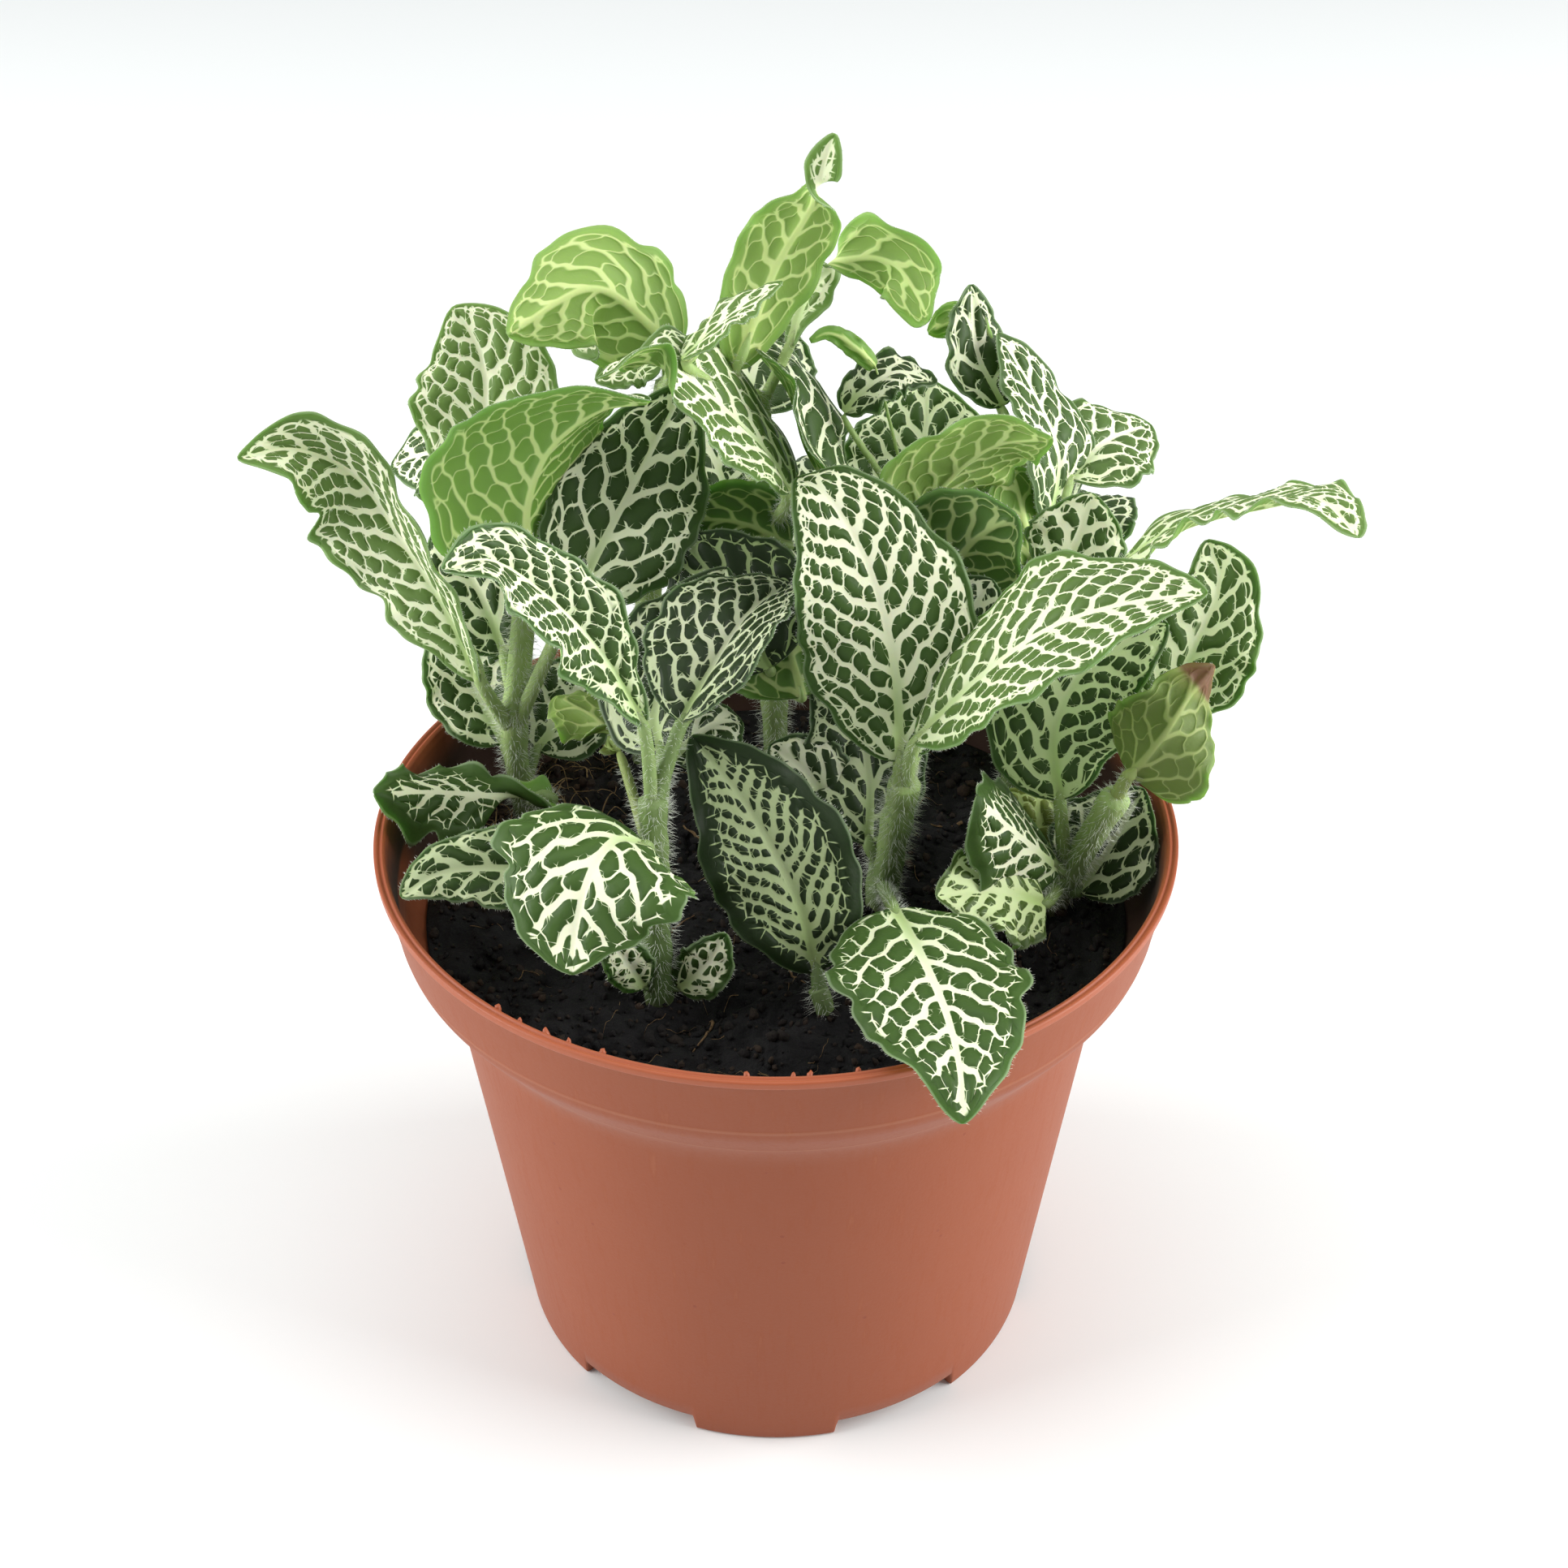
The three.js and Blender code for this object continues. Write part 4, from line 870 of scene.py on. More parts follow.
# Height and pitch of the solid's two waves, in mm. A crumb's size is the first number plus the second times
# a random share to the third. The golden ratio gives the corners of its ball, whose sides are shorter than
# the last number.
LUMPS = (0.9, 30)
SMALL_LUMPS = (0.5, 14)
CRUMB_SIZE = (0.28, 0.95, 3.2)
ICO = (1 + math.sqrt(5)) / 2
ICO_SIDE = 1.1


def soil_height(x, y):
    """The peat's surface: the solid's two low waves, which fade to the wall, and four sizes of random
    lumps, from 9 mm down to 0.9 mm."""
    low = LUMPS[0] * np.sin(TURN / LUMPS[1] * x + 1) * np.cos(TURN / LUMPS[1] * y)
    low = low + SMALL_LUMPS[0] * np.sin(TURN / SMALL_LUMPS[1] * (y - x))
    fine = (1.0 * rough(x, y, 9.0, 1) + 0.9 * rough(x, y, 4.0, 2) + 0.6 * (1 - 2 * np.abs(rough(x, y, 2.0, 3)))
            + 0.35 * rough(x, y, 0.9, 4))
    return SOIL_TOP + (low + fine) * ramp(SOIL_EDGE - np.hypot(x, y), 0.0, 3.0)


def soil_shell():
    """The peat: rings from the middle of its underside, up the wall and back over its lumpy top."""
    bottom = FOOT_HEIGHT + WALL + CLEARANCE
    side = np.array([(CENTRE_RADIUS, bottom), (inner_radius(bottom) - CLEARANCE, bottom),
                     (inner_radius(SHOULDER_BOTTOM) - CLEARANCE, SHOULDER_BOTTOM + CLEARANCE / 2),
                     (SOIL_EDGE, SOIL_TOP)])
    r = np.concatenate([side[:, 0], np.linspace(SOIL_EDGE, CENTRE_RADIUS, SOIL_RINGS)[1:]])[:, None]
    angle = np.linspace(0, TURN, SOIL_SIDES, endpoint=False)
    z = soil_height(r * np.cos(angle), r * np.sin(angle))
    z[:len(side)] = side[:, 1:]
    return revolved(r, angle, z)


def peat_places(count, rng, reach):
    """Random places on the peat, evenly over its area, out to this share of its radius."""
    r = SOIL_EDGE * reach * np.sqrt(rng.uniform(0, 1, count))
    angle = rng.uniform(0, TURN, count)
    x, y = r * np.cos(angle), r * np.sin(angle)
    return np.stack([x, y, soil_height(x, y)], -1)


def crumbs_shell(count):
    """Loose crumbs of peat, most of them small: each is a twenty-sided ball with its corners moved in and
    out, stretched by a random amount along each axis and turned."""
    rng = np.random.default_rng(11)
    ball = unit(np.array([corner for a in (-1, 1) for b in (-ICO, ICO)
                          for corner in ((0, a, b), (a, b, 0), (b, 0, a))], float))
    faces = [face for face in map(list, combinations(range(len(ball)), 3))
             if np.linalg.norm(ball[face] - np.roll(ball[face], 1, 0), axis=1).max() < ICO_SIDE]
    faces = np.array([(i, j, k) if np.linalg.det(ball[[i, j, k]]) > 0 else (i, k, j) for i, j, k in faces])
    places = peat_places(count, rng, 0.985)
    size = CRUMB_SIZE[0] + CRUMB_SIZE[1] * rng.uniform(0, 1, count) ** CRUMB_SIZE[2]
    moved = ball[None] * rng.uniform(0.62, 1.25, (count, 12, 1)) * rng.uniform(0.55, 1.3, (count, 1, 3))
    turn = rng.uniform(0, TURN, count)
    cos, sin = np.cos(turn)[:, None], np.sin(turn)[:, None]
    x, y, z = np.moveaxis(moved, -1, 0)
    moved = np.stack([x * cos - y * sin, x * sin + y * cos, z], -1)
    tone = np.repeat(np.stack([rng.uniform(0, 1, count) ** 2.5] * 3, -1), 12, axis=0)
    shells = Shells()
    shells.take(places[:, None] + moved * size[:, None, None] + np.array([0, 0, 0.15]),
                [(12 * np.arange(count)[:, None, None] + faces).reshape(-1, 3)], tone=tone)
    return shells


def take_fibres(shells, starts, rng, long, thick, tone, lift):
    """Fibres and dry roots: thin bent tubes that wander over the peat in eight steps."""
    for start in starts:
        heading = rng.uniform(0, TURN)
        steps = heading + np.cumsum(rng.normal(0, 0.35, 8))
        pace = rng.uniform(*long) / 8
        x, y = (begin + np.concatenate([[0], np.cumsum(way(steps) * pace)])
                for begin, way in zip(start, (np.cos, np.sin)))
        shrink = np.minimum(1, (SOIL_EDGE - 0.6) / np.maximum(np.hypot(x, y), 1))
        x, y = x * shrink, y * shrink
        rise = rng.uniform(*lift) * np.sin(np.linspace(0.1, math.pi, 9)) + 0.15
        line = spline(np.stack([x, y, soil_height(x, y) + rise], -1), 3)
        radius = rng.uniform(*thick) * (1 - 0.6 * np.linspace(0, 1, len(line)))
        points, faces, _ = tube(line, radius, 4)
        shells.take(points, faces, tone=[rng.uniform(*tone)] * 3)


def fibres_shell():
    """Fibres: short ones and a few long ones everywhere, some thick bits of root, and a tuft of long brown
    ones at the left of the back, where the peat is drier."""
    rng = np.random.default_rng(23)
    shells = Shells()
    for count, *ranges in (
        (70, (3.0, 8.0), (0.04, 0.08), (0.2, 0.6), (0.0, 0.6)),
        (9, (9.0, 18.0), (0.04, 0.07), (0.6, 0.9), (0.3, 1.2)),
        (12, (4.0, 9.0), (0.2, 0.35), (0.1, 0.35), (0.0, 0.5)),
    ):
        take_fibres(shells, peat_places(count, rng, 0.95), rng, *ranges)
    dry = peat_places(1400, rng, 0.97)
    dry = dry[(dry[:, 0] < -28) & (dry[:, 1] > 2)]
    take_fibres(shells, dry[:90], rng, (4.0, 12.0), (0.06, 0.15), (0.4, 0.9), (0.4, 2.6))
    return shells


# ---------------------------------------------------------------- finishes

LEAF_FINISHES = ("waxy_leaf_upper", "matt_leaf_under", "juicy_stalk")
COLLAR_SLOPE = 0.16
SHOULDER_SLOPE = 0.744


def linear(code):
    """The linear colour of an sRGB hex code."""
    values = np.array([int(code[i:i + 2], 16) for i in (1, 3, 5)]) / 255
    values = np.where(values <= 0.04045, values / 12.92, ((values + 0.055) / 1.055) ** 2.4)
    return (*values.tolist(), 1.0)


def chosen(group, field):
    """A colour from the panel."""
    return tuple(getattr(getattr(bpy.context.scene, group), field))


def parts(tree, vector):
    """The three numbers of a vector."""
    return [Wire(tree, socket) for socket in add(tree, "ShaderNodeSeparateXYZ", None, {0: vector}).outputs]


def stored(tree, name):
    """The three numbers that each point of a piece has under this name."""
    return parts(tree, add(tree, "ShaderNodeAttribute", {"attribute_name": name}).outputs["Vector"])


def finish(name, pattern, **settings):
    """A material with one shader. The pattern takes the node tree and gives the colours (a base, then a
    factor and a colour for each layer over it, each a hex code or a linear colour), the roughness, and the
    relief in mm."""
    made = bpy.data.materials.new(name)
    made.use_nodes = True
    tree = made.node_tree
    tree.nodes.clear()
    (colour, *layers), roughness, relief = pattern(tree)
    colour = linear(colour) if isinstance(colour, str) else colour
    for factor, over in layers:
        over = linear(over) if isinstance(over, str) else over
        colour = add(tree, "ShaderNodeMix", {"data_type": "RGBA"}, {0: factor, 6: colour, 7: over}).outputs[2]
    bump = add(tree, "ShaderNodeBump", None, {"Height": relief, "Distance": MM})
    shader = add(tree, "ShaderNodeBsdfPrincipled", None, {
        "Base Color": colour, "Roughness": roughness, "Normal": bump.outputs[0], **settings})
    add(tree, "ShaderNodeOutputMaterial", None, {"Surface": shader.outputs[0]})
    return made


def object_mm(tree):
    """The place on the object, in mm."""
    place = add(tree, "ShaderNodeTexCoord").outputs["Object"]
    return add(tree, "ShaderNodeVectorMath", {"operation": "SCALE"}, {0: place, "Scale": 1 / MM}).outputs[0]


def noise_at(tree, place, size, detail=2.0, stretch=None):
    """Soft noise from 0 to 1 whose lumps are about this many mm across, and as many times longer along each
    axis as the stretch says."""
    if stretch:
        place = add(tree, "ShaderNodeVectorMath", {"operation": "DIVIDE"}, {0: place, 1: stretch}).outputs[0]
    return Wire(tree, add(tree, "ShaderNodeTexNoise", None, {
        "Vector": place, "Scale": 1 / size, "Detail": detail, "Roughness": 0.55}).outputs[0])


def blade_facts(tree):
    """What both sides of a blade read: the point's place, size and net, the place on the blade in mm (each
    leaf in a plane of its own), its distance from the midrib and the edge, patches and grain, the leaf's tone,
    how far it is painted as lit and light green or darkened by painted shade, how white its veins are, and the
    layers of its age."""
    blade, size, net, (tone, white, age) = (stored(tree, name) for name in ("blade", "size", "net", "tone"))
    s, t, seed = blade
    length, half, _ = size
    place = add(tree, "ShaderNodeCombineXYZ", None, {0: s * half, 1: t * length, 2: seed * 97.0}).outputs[0]
    a = np.abs(s)
    patches = noise_at(tree, place, 5.0)
    grain = noise_at(tree, place, 0.5, 1.0)

    def ageing(yellow, code):
        return [(ramp(age, 0.0, 0.5) * yellow, code), (ramp(age + (patches - 0.5) * 0.5, 0.55, 0.95), "#6B4A2E")]

    # ramp(tone, 0.5, 1) paints light and ramp(0.5 - tone, 0, 0.5) paints shade, along with the leaf's own lighter
    # or darker green.
    return (blade, size, net, place, a * half, (1.0 - a) * half, patches, grain, tone, ramp(tone, 0.5, 1.0),
            ramp(0.5 - tone, 0.0, 0.5), white, ageing)


def upper_skin(tree):
    """The upper side: dark green cells that shine softly, lighter in their middles by a painted sheen, cream
    veins that turn green to the base, fine spurs from the veins into the cells, a dark margin and a silvery rim.
    The leaf's tone paints light on lit leaves and shade on shaded ones, over cells and veins. The spurs are the
    walls of small cells, drawn as wedges that end at their reach from a vein. They are strongest just past the
    arches, and the margin beyond is bare."""
    blade, size, net, place, x, inset, patches, grain, _, lit_and_fresh, shade, white, ageing = blade_facts(tree)
    cell_size, spur_reach = 2.3, 1.2
    off = vein_net(blade, size, net)
    to_margin = inset - size[2]
    cells = add(tree, "ShaderNodeTexVoronoi", {"feature": "DISTANCE_TO_EDGE"},
                {"Vector": place, "Scale": 1 / cell_size})
    wall = Wire(tree, cells.outputs["Distance"]) * cell_size
    spur = ramp(0.14 * (1.0 - off / spur_reach) - 0.09 * ramp(to_margin, -0.4, 0.6) - wall, -0.04, 0.04)
    spur = spur * ramp(to_margin, -1.5, -0.8)
    vein = 1.0 - ramp(off + (grain - 0.5) * 0.12, -0.07, 0.07)
    vein = np.maximum(vein, spur * ramp(spur_reach - off, 0.0, 0.1)) * ramp(inset, 0.2, 0.7)
    near_rib = 1.0 - ramp(x, 0.3, 1.7)
    green_base = 1.0 - ramp(blade[1], 0.0, 0.5)
    colours = [
        chosen("nerve_leaf", "cell_colour"),
        (patches * 0.6, "#466424"),
        # Painted sheen: the middle of each cell is lighter.
        (ramp(off, 0.1, 1.2) * 0.2, "#5F7A42"),
        # Painted light and shade from the tone: lit leaves lighter green, shaded ones darker, with some of each
        # leaf's own green.
        (lit_and_fresh * 0.85, "#718F48"),
        (shade * 0.85, "#1A2812"),
        (vein * 0.97, "#AECB7A"),
        (vein * white * (1.0 - 0.8 * near_rib * green_base) * (1.0 - 0.3 * green_base),
         chosen("nerve_leaf", "vein_colour")),
        ((1.0 - ramp(inset, 0.12, 0.45)) * 0.45, "#9DB08C"),
        # Painted shade again, over the veins as well.
        (shade * 0.35, "#1E2A18"),
        *ageing(0.65, "#8C9440"),
    ]
    return colours, 0.44 + 0.12 * patches + 0.10 * vein, ramp(off, -0.2, 0.7) * 0.14 + grain * 0.035


def under_skin(tree):
    """The under side: pale matt green with raised, lighter veins, thinner than above. The leaf's tone paints
    light on lit leaves and shade on shaded ones, and paler veins on lit ones.
    """
    blade, size, net, _, _, inset, patches, grain, tone, lit_and_fresh, shade, _, ageing = blade_facts(tree)
    off = vein_net(blade, size, net) + 0.12
    vein = (1.0 - ramp(off, -0.1, 0.2)) * ramp(inset, 0.2, 1.2)
    colours = [
        "#648E36",
        (patches * 0.6, "#7FA548"),
        # Painted light and shade from the tone, with some of each leaf's own green.
        (lit_and_fresh * 0.85, "#8FAD57"),
        (shade * 0.85, "#3B5A1E"),
        # Veins paler on leaves of high tone: painted light.
        (vein * (0.45 + 0.45 * tone), "#D6E39C"),
        ((1.0 - ramp(inset, 0.2, 1.0)) * 0.5, "#7C9660"),
        *ageing(0.7, "#8F9652"),
    ]
    return colours, 0.55 + 0.1 * patches, (1.0 - ramp(off, -0.2, 0.5)) * 0.12 + grain * 0.03


def stalk_skin(tree):
    """Stems and stalks: juicy light green with streaks along the length, browner at the peat. Painted shade
    darkens those of low tone, and the lower part of each more and more towards the peat.
    """
    height, _, _ = stored(tree, "size")
    tone, _, age = stored(tree, "tone")
    place = object_mm(tree)
    streaks = noise_at(tree, place, 0.8, 2.0, (1.0, 1.0, 7.0))
    patches = noise_at(tree, place, 6.0)
    grain = noise_at(tree, place, 0.4, 1.0)
    colours = [
        "#93AE62",
        (streaks * 0.8, "#C4D49C"),
        (patches * 0.4, "#83A457"),
        # Painted shade on stems and stalks of low tone.
        (ramp(0.5 - tone, 0.0, 0.5) * 0.7, "#4C6332"),
        # Painted shade, growing down the lower part of a stem towards the peat.
        (ramp(0.60 - height, 0.0, 0.60) * 0.65, "#38512A"),
        (ramp(0.05 - height, 0.0, 0.08) * 0.6, "#4A3A26"),
        (ramp(age, 0.0, 0.6) * 0.6, "#A5A052"),
    ]
    return colours, 0.5 + 0.1 * grain, streaks * 0.12 + grain * 0.04


def hair_skin(tree):
    """Fine plant hair: nearly white, a little greener in places, and silky."""
    patches = noise_at(tree, object_mm(tree), 10.0)
    return ["#E8EFDC", (patches * 0.6, "#FAFCF4")], 0.5 + 0.1 * patches, 0.0


def pot_skin(tree):
    """Injection-moulded polypropylene: an even brown-orange with faint clouds of pigment and a few specks,
    a soft grain, fine scuffs along the wall, and a redder, glossier lip where the colour is thick. The mould
    lines are lighter by a painted highlight. Inside, peat dust and painted shade darken the wall down from the
    lip, but for a strip over the peat at the left, which is painted lighter as lit and clean."""
    place = object_mm(tree)
    x, y, z = parts(tree, place)
    clouds = noise_at(tree, place, 14.0, 3.0)
    grain = noise_at(tree, place, 0.5, 2.0)
    scuffs = noise_at(tree, place, 1.2, 3.0, (1.0, 1.0, 12.0))
    cells = add(tree, "ShaderNodeTexVoronoi", None, {"Vector": place, "Scale": 1 / 6.0})
    speck = 1.0 - ramp(Wire(tree, cells.outputs["Distance"]), 0.035, 0.07)
    lip = ramp(z, 89.0, 89.7)
    # Painted highlight: the mould lines lighter, as if they caught the light.
    mould = 1.0 - ramp(np.minimum(*(np.abs(z - line) for line in MOULD_LINES)), 0.15, 0.4)
    inner = np.minimum(COLLAR_RADIUS + (z - COLLAR_BOTTOM) * COLLAR_SLOPE,
                       SHOULDER_RADIUS + (z - SHOULDER_BOTTOM) * SHOULDER_SLOPE)
    inside = ramp(inner - np.sqrt(x * x + y * y), 0.55, 0.95) * ramp(z, 70.0, 72.0)
    cloudy = clouds - 0.5
    # A strip at the left over the peat, clear of dust and shade: painted light.
    clean_lit_strip = ramp(x * -1.0, 44.0, 49.0) * ramp(8.0 - y, 0.0, 8.0) * ramp(83.5 - z + 2.0 * cloudy, -0.6, 0.6)
    # Peat dust and painted shade: the inner wall darker down from the lip.
    dust_and_shade = inside * ramp(91.5 - z + 6.0 * cloudy, 0.0, 7.0) * (1.0 - 0.85 * clean_lit_strip)
    colours = [
        chosen("nerve_pot", "wall_colour"),
        (clouds * 0.35, "#954C27"),
        (ramp(scuffs, 0.62, 0.8) * 0.14, "#BC8060"),
        (mould * 0.15, "#C08A6C"),
        (speck * 0.5, "#78290F"),
        (lip * 0.55, "#B05A36"),
        (dust_and_shade * 0.9, "#1D100C"),
    ]
    roughness = 0.55 + 0.12 * grain + 0.1 * ramp(scuffs, 0.5, 0.8) - 0.12 * lip + 0.2 * dust_and_shade
    return colours, roughness, grain * 0.02 + scuffs * 0.015


def peat_skin(tree):
    """Moist peat: near black and matt, browner and lighter on dry crumbs and at the left of the back."""
    light, _, _ = stored(tree, "tone")
    place = object_mm(tree)
    x, y, _ = parts(tree, place)
    patches = noise_at(tree, place, 7.0, 3.0)
    grain = noise_at(tree, place, 0.6, 3.0)
    dry = ramp(8.0 * (patches - 0.5) - x, 26.0, 40.0) * ramp(y, -6.0, 6.0) * ramp(grain, 0.3, 0.6)
    colours = [
        chosen("nerve_peat", "peat_colour"),
        (ramp(patches, 0.35, 0.8), "#151214"),
        (ramp(grain, 0.55, 0.8) * 0.4, "#241D1A"),
        (dry * 0.7, "#3B2A20"),
        (light * (0.35 + 0.5 * dry), "#5A4430"),
    ]
    return colours, 0.8 + 0.12 * grain, grain * 0.35


def root_skin(tree):
    """Dry root and coir: straw to brown from fibre to fibre, with darker streaks, and matt."""
    light, _, _ = stored(tree, "tone")
    streaks = noise_at(tree, object_mm(tree), 0.7)
    return ["#5B4128", (light, "#B09468"), (streaks * 0.4, "#3A2818")], 0.8 + 0.1 * streaks, streaks * 0.05


def floor_skin(tree):
    """Matt white paper with a faint grain."""
    grain = noise_at(tree, object_mm(tree), 1.5)
    return ["#EFF2F1", (grain * 0.2, "#EBEEED")], 0.6 + 0.1 * grain, 0.0


def leaf_finishes():
    """Living leaf, as grown: waxy and softly shiny above, matt below. Light goes some way in, which makes
    thin parts glow. Stalks are wetter and clearer."""
    living = {"Subsurface Radius": (0.0008, 0.0014, 0.0003), "Subsurface Scale": 1.0, "IOR": 1.4}
    return [finish(name, skin, **living, **more) for name, skin, more in zip(
        LEAF_FINISHES, (upper_skin, under_skin, stalk_skin),
        ({"Subsurface Weight": 0.25, "Specular IOR Level": 0.35}, {"Subsurface Weight": 0.45},
         {"Subsurface Weight": 0.3}))]


# ---------------------------------------------------------------- settings

def panel_number(name, about, default, high=None, low=0, **more):
    """A number for the panel, with its lowest and highest values."""
    more = more if high is None else {**more, "max": high}
    return bpy.props.FloatProperty(name=name, description=about, default=default, min=low, **more)


def panel_colour(name, about, code):
    """A colour for the panel, given as an sRGB hex code."""
    return bpy.props.FloatVectorProperty(
        name=name, description=about, default=linear(code), size=4, subtype="COLOR", min=0, max=1)


class LeafSettings(bpy.types.PropertyGroup):
    """The leafy stems"""
    fineness: panel_number("Fineness", "Mesh points to a millimetre of blade", 2.2, 4, 0.3)
    hairs: panel_number("Hairs", "Hairs to a square millimetre of stem", 2.7, 8)
    hair_length: panel_number("Hair length", "Length of a hair on a stem", 0.0019, unit="LENGTH")
    cell_colour: panel_colour("Cells", "Darkest green between the veins", "#304A1B")
    vein_colour: panel_colour("Veins", "Cream of the veins", "#EFF4D3")


class PotSettings(bpy.types.PropertyGroup):
    """The nursery pot"""
    wall_colour: panel_colour("Wall", "Colour of the moulding", "#8B411B")
    drain_radius: panel_number(
        "Drain hole", "Radius of each drain hole", DRAIN_RADIUS * MM, 0.006, 0.001, unit="LENGTH")


class PeatSettings(bpy.types.PropertyGroup):
    """The peat in the pot"""
    crumbs: bpy.props.IntProperty(
        name="Crumbs", description="Number of loose crumbs", default=3200, min=0, max=12000)
    peat_colour: panel_colour("Peat", "Colour of moist peat", "#0A090A")


class StageSettings(bpy.types.PropertyGroup):
    """The floor and the lights"""
    floor_size: panel_number("Floor", "Side of the floor", 4.0, low=1, unit="LENGTH")
    sky: panel_number("Room light", "Strength of the even white light", 0.39)
    top_light: panel_number("Top light", "Power of the soft box above", 5.1, unit="POWER")
    side_light: panel_number("Side light", "Power of the soft box at each side", 13.0, unit="POWER")


# ---------------------------------------------------------------- operators

FEWEST_POT_FACES = 1000


def ready(made, node=None):
    """Rides a finished piece on the part's one body, and hides the imported part of the node it stands for."""
    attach(made, ROOT)
    if node:
        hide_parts(node)


class NERVE_OT_pot(bpy.types.Operator):
    """Makes the nursery pot with its lip, collar, feet and drain holes, and the nubs on its rim"""
    bl_idname = "nerve.pot"
    bl_label = "Pot"

    def execute(self, context):
        surface = finish("moulded_polypropylene", pot_skin, IOR=1.49,
                         **{"Sheen Weight": 0.06, "Sheen Roughness": 0.4})
        made = pot_shell().made("nursery_pot", [surface])
        rods = drain_cutters(context.scene.nerve_pot.drain_radius / MM).made("rods", [])
        cut = made.modifiers.new("drain_holes", "BOOLEAN")
        cut.object = rods
        cut.solver = "EXACT"
        whole = made.data
        made.data = bpy.data.meshes.new_from_object(made.evaluated_get(context.evaluated_depsgraph_get()))
        made.data.name = "nursery_pot"
        made.modifiers.clear()
        bpy.data.meshes.remove(whole)
        bpy.data.objects.remove(rods)
        if len(made.data.polygons) < FEWEST_POT_FACES:
            raise RuntimeError("the drain holes cut the pot away")
        ready(made, "pot")
        nubs = Shells()
        take_nubs(nubs)
        ready(nubs.made("rim_nubs", [surface]))
        return {"FINISHED"}


class NERVE_OT_soil(bpy.types.Operator):
    """Makes the peat that fills the pot, with its crumbs, fibres and dry roots"""
    bl_idname = "nerve.soil"
    bl_label = "Peat"

    def execute(self, context):
        peat = finish("moist_peat", peat_skin, IOR=1.4)
        ready(soil_shell().made("peat", [peat]), "soil")
        ready(crumbs_shell(context.scene.nerve_peat.crumbs).made("peat_crumbs", [peat]))
        ready(fibres_shell().made("peat_fibres", [finish("dry_root", root_skin, IOR=1.45)]))
        return {"FINISHED"}


class NERVE_OT_leafy_stem(bpy.types.Operator):
    """Makes one leafy stem: its stem, stalks and blades as one piece, and its hairs as another"""
    bl_idname = "nerve.leafy_stem"
    bl_label = "Leafy stem"
    stem: bpy.props.EnumProperty(
        name="Stem", description="Which stem is made",
        items=[(name, name.replace("_", " ").capitalize(), "Makes " + name.replace("_", " ")) for name in STEMS])

    def execute(self, context):
        settings = context.scene.nerve_leaf
        fineness = settings.fineness * 1.0
        growth, fuzz = leafy_stem(self.stem, fineness, settings.hairs, settings.hair_length / MM)
        surfaces = [bpy.data.materials.get(name) for name in LEAF_FINISHES]
        if None in surfaces:
            surfaces = leaf_finishes()
        ready(growth.made(self.stem + "_leaves", surfaces), self.stem)
        hair = bpy.data.materials.get("silvery_hair") or finish("silvery_hair", hair_skin, IOR=1.5)
        ready(fuzz.made(self.stem + "_hairs", [hair]))
        return {"FINISHED"}


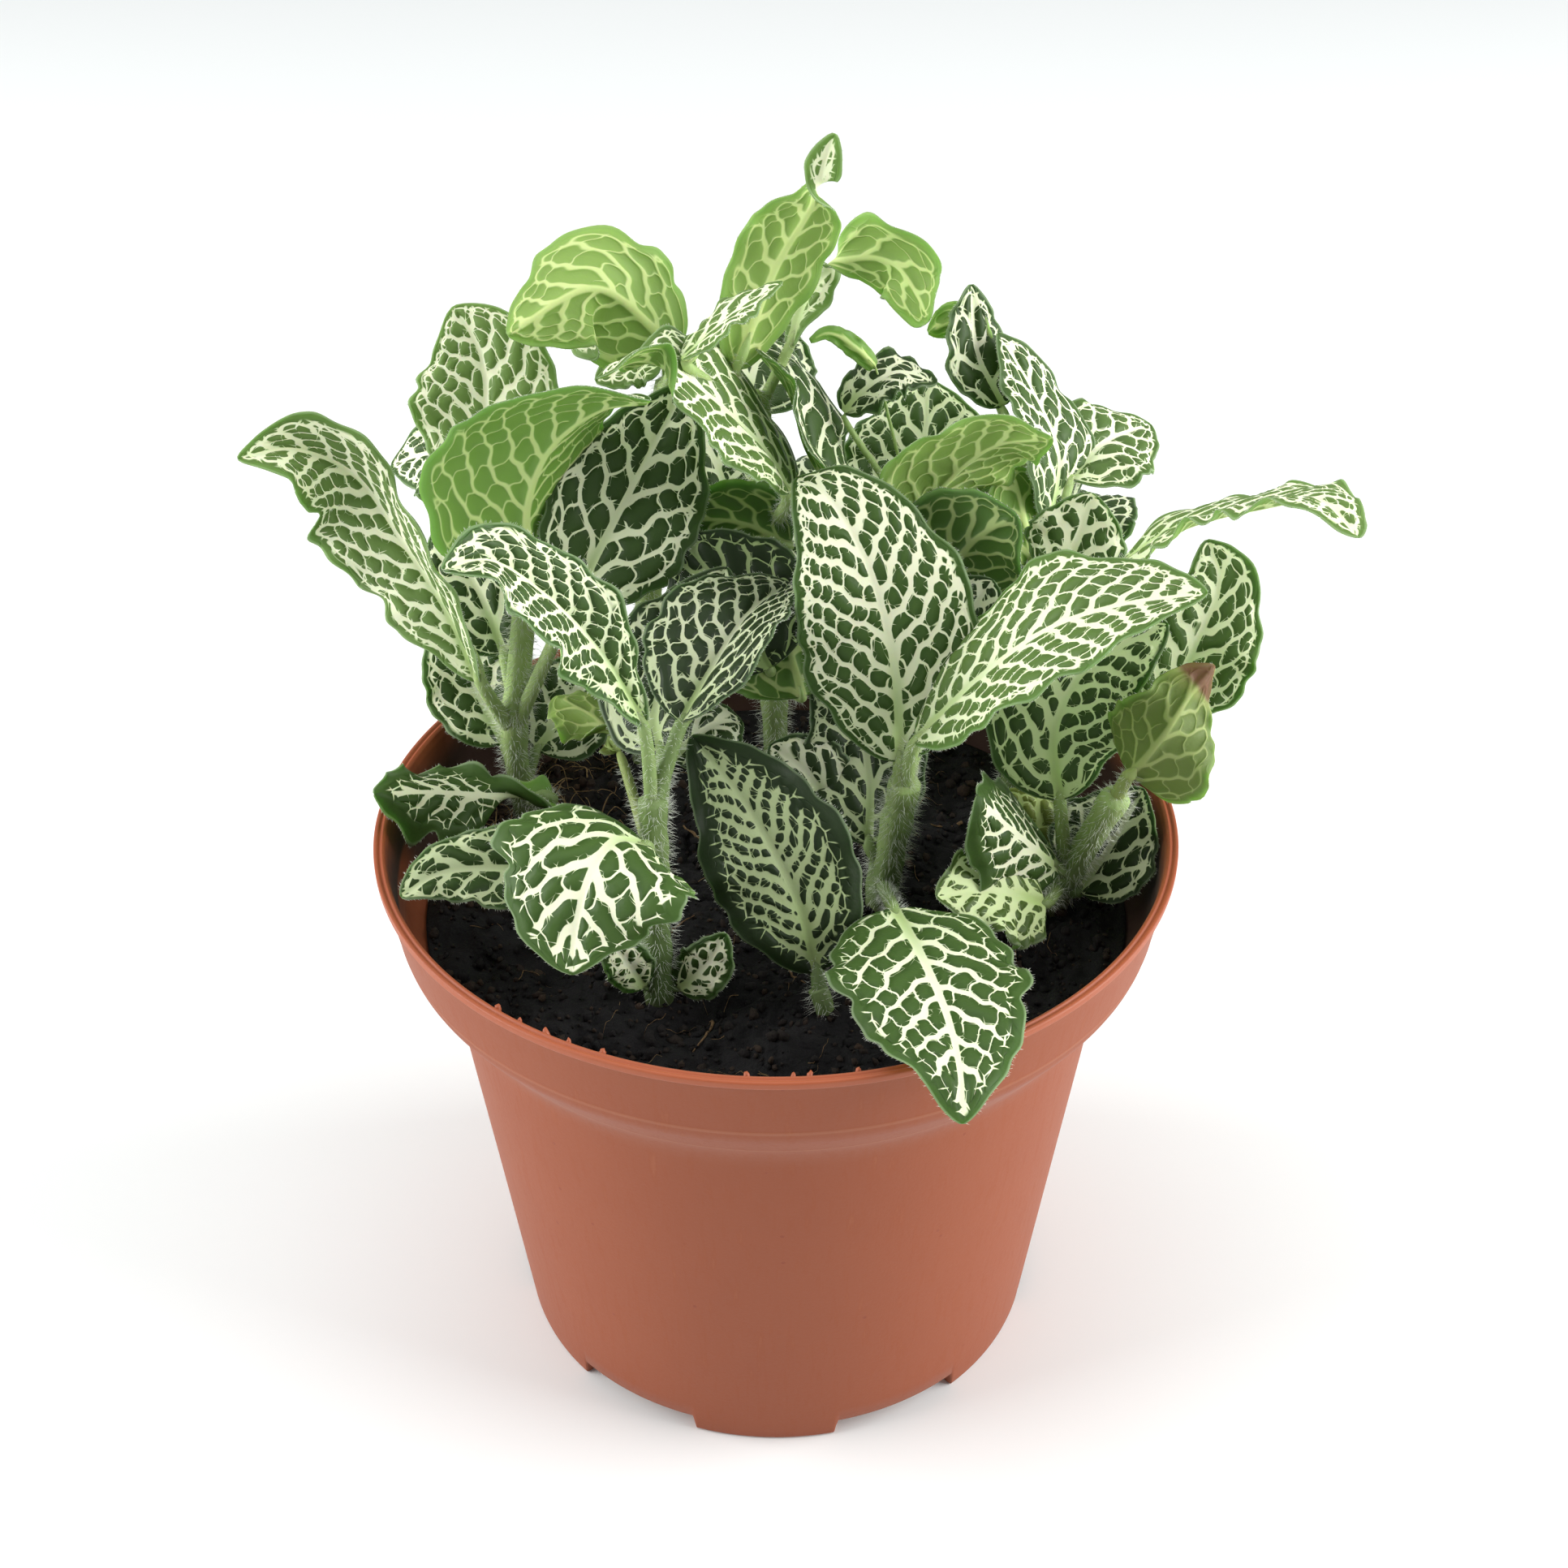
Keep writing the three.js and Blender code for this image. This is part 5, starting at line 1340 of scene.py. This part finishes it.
class NERVE_OT_stage(bpy.types.Operator):
    """Makes the pale floor, the soft light and the camera"""
    bl_idname = "nerve.stage"
    bl_label = "Stage"

    def execute(self, context):
        scene = context.scene
        settings = scene.nerve_stage
        half = settings.floor_size / 2 / MM
        floor = Shells()
        floor.take([(-half, -half, 0), (half, -half, 0), (half, half, 0), (-half, half, 0)], [np.arange(4)[None]])
        floor.made("floor", [finish("matt_paper", floor_skin)])

        scene.world = bpy.data.worlds.new("even_white_light")
        scene.world.use_nodes = True
        sky = scene.world.node_tree.nodes["Background"]
        sky.inputs["Color"].default_value = linear("#FCFDFF")
        sky.inputs["Strength"].default_value = settings.sky
        middle_of_plant = Vector((0, 0, 0.08))
        for name, place, side, power in (
            ("soft_box_above", (-0.1, 0.25, 1.2), 1.0, settings.top_light),
            ("soft_box_left", (-1.0, -0.1, 0.5), 0.8, settings.side_light),
            ("soft_box_right", (1.0, -0.1, 0.5), 0.8, settings.side_light * 1.25),
        ):
            light = bpy.data.lights.new(name, "AREA")
            light.energy = power
            light.shape = "SQUARE"
            light.size = side
            box = bpy.data.objects.new(name, light)
            box.location = place
            box.rotation_euler = (middle_of_plant - Vector(place)).to_track_quat("-Z", "Y").to_euler()
            scene.collection.objects.link(box)

        camera = bpy.data.cameras.new("camera")
        camera.sensor_width = SENSOR
        camera.lens = SENSOR * FOCAL_PIXELS / PICTURE_SIDE
        camera.clip_start = 0.01
        viewer = bpy.data.objects.new("camera", camera)
        viewer.location = CAMERA_PLACE
        viewer.rotation_euler = (math.radians(90 - CAMERA_PITCH), 0, 0)
        scene.collection.objects.link(viewer)
        scene.camera = viewer
        scene.view_settings.view_transform = "Standard"
        scene.view_settings.look = "None"
        return {"FINISHED"}


class NERVE_PT_panel(bpy.types.Panel):
    """Lists the pieces of the nerve plant"""
    bl_idname = "NERVE_PT_panel"
    bl_label = "Nerve plant"
    bl_space_type = "VIEW_3D"
    bl_region_type = "UI"
    bl_category = "Nerve plant"

    def draw(self, context):
        for group, operator in (
            ("nerve_pot", "nerve.pot"), ("nerve_peat", "nerve.soil"), ("nerve_stage", "nerve.stage"),
            ("nerve_leaf", None),
        ):
            settings = getattr(context.scene, group)
            box = self.layout.box()
            for field in settings.bl_rna.properties:
                if field.identifier not in ("rna_type", "name"):
                    box.prop(settings, field.identifier)
            if operator:
                box.operator(operator)
        for name in STEMS:
            self.layout.operator("nerve.leafy_stem", text=name.replace("_", " ").capitalize()).stem = name


GROUPS = {
    "nerve_leaf": LeafSettings,
    "nerve_pot": PotSettings,
    "nerve_peat": PeatSettings,
    "nerve_stage": StageSettings,
}
CLASSES = (*GROUPS.values(), NERVE_OT_pot, NERVE_OT_soil, NERVE_OT_leafy_stem, NERVE_OT_stage, NERVE_PT_panel)


def register():
    """Adds the classes, and one group of settings each to the scene."""
    for each in CLASSES:
        bpy.utils.register_class(each)
    for name, group in GROUPS.items():
        setattr(bpy.types.Scene, name, bpy.props.PointerProperty(type=group))


def unregister():
    """Takes the settings and classes away again."""
    for name in GROUPS:
        delattr(bpy.types.Scene, name)
    for each in reversed(CLASSES):
        bpy.utils.unregister_class(each)


def main():
    """Makes every piece and the stage."""
    register()
    bpy.ops.nerve.pot()
    bpy.ops.nerve.soil()
    for name in STEMS:
        bpy.ops.nerve.leafy_stem(stem=name)
    bpy.ops.nerve.stage()


if __name__ == "__main__":
    main()
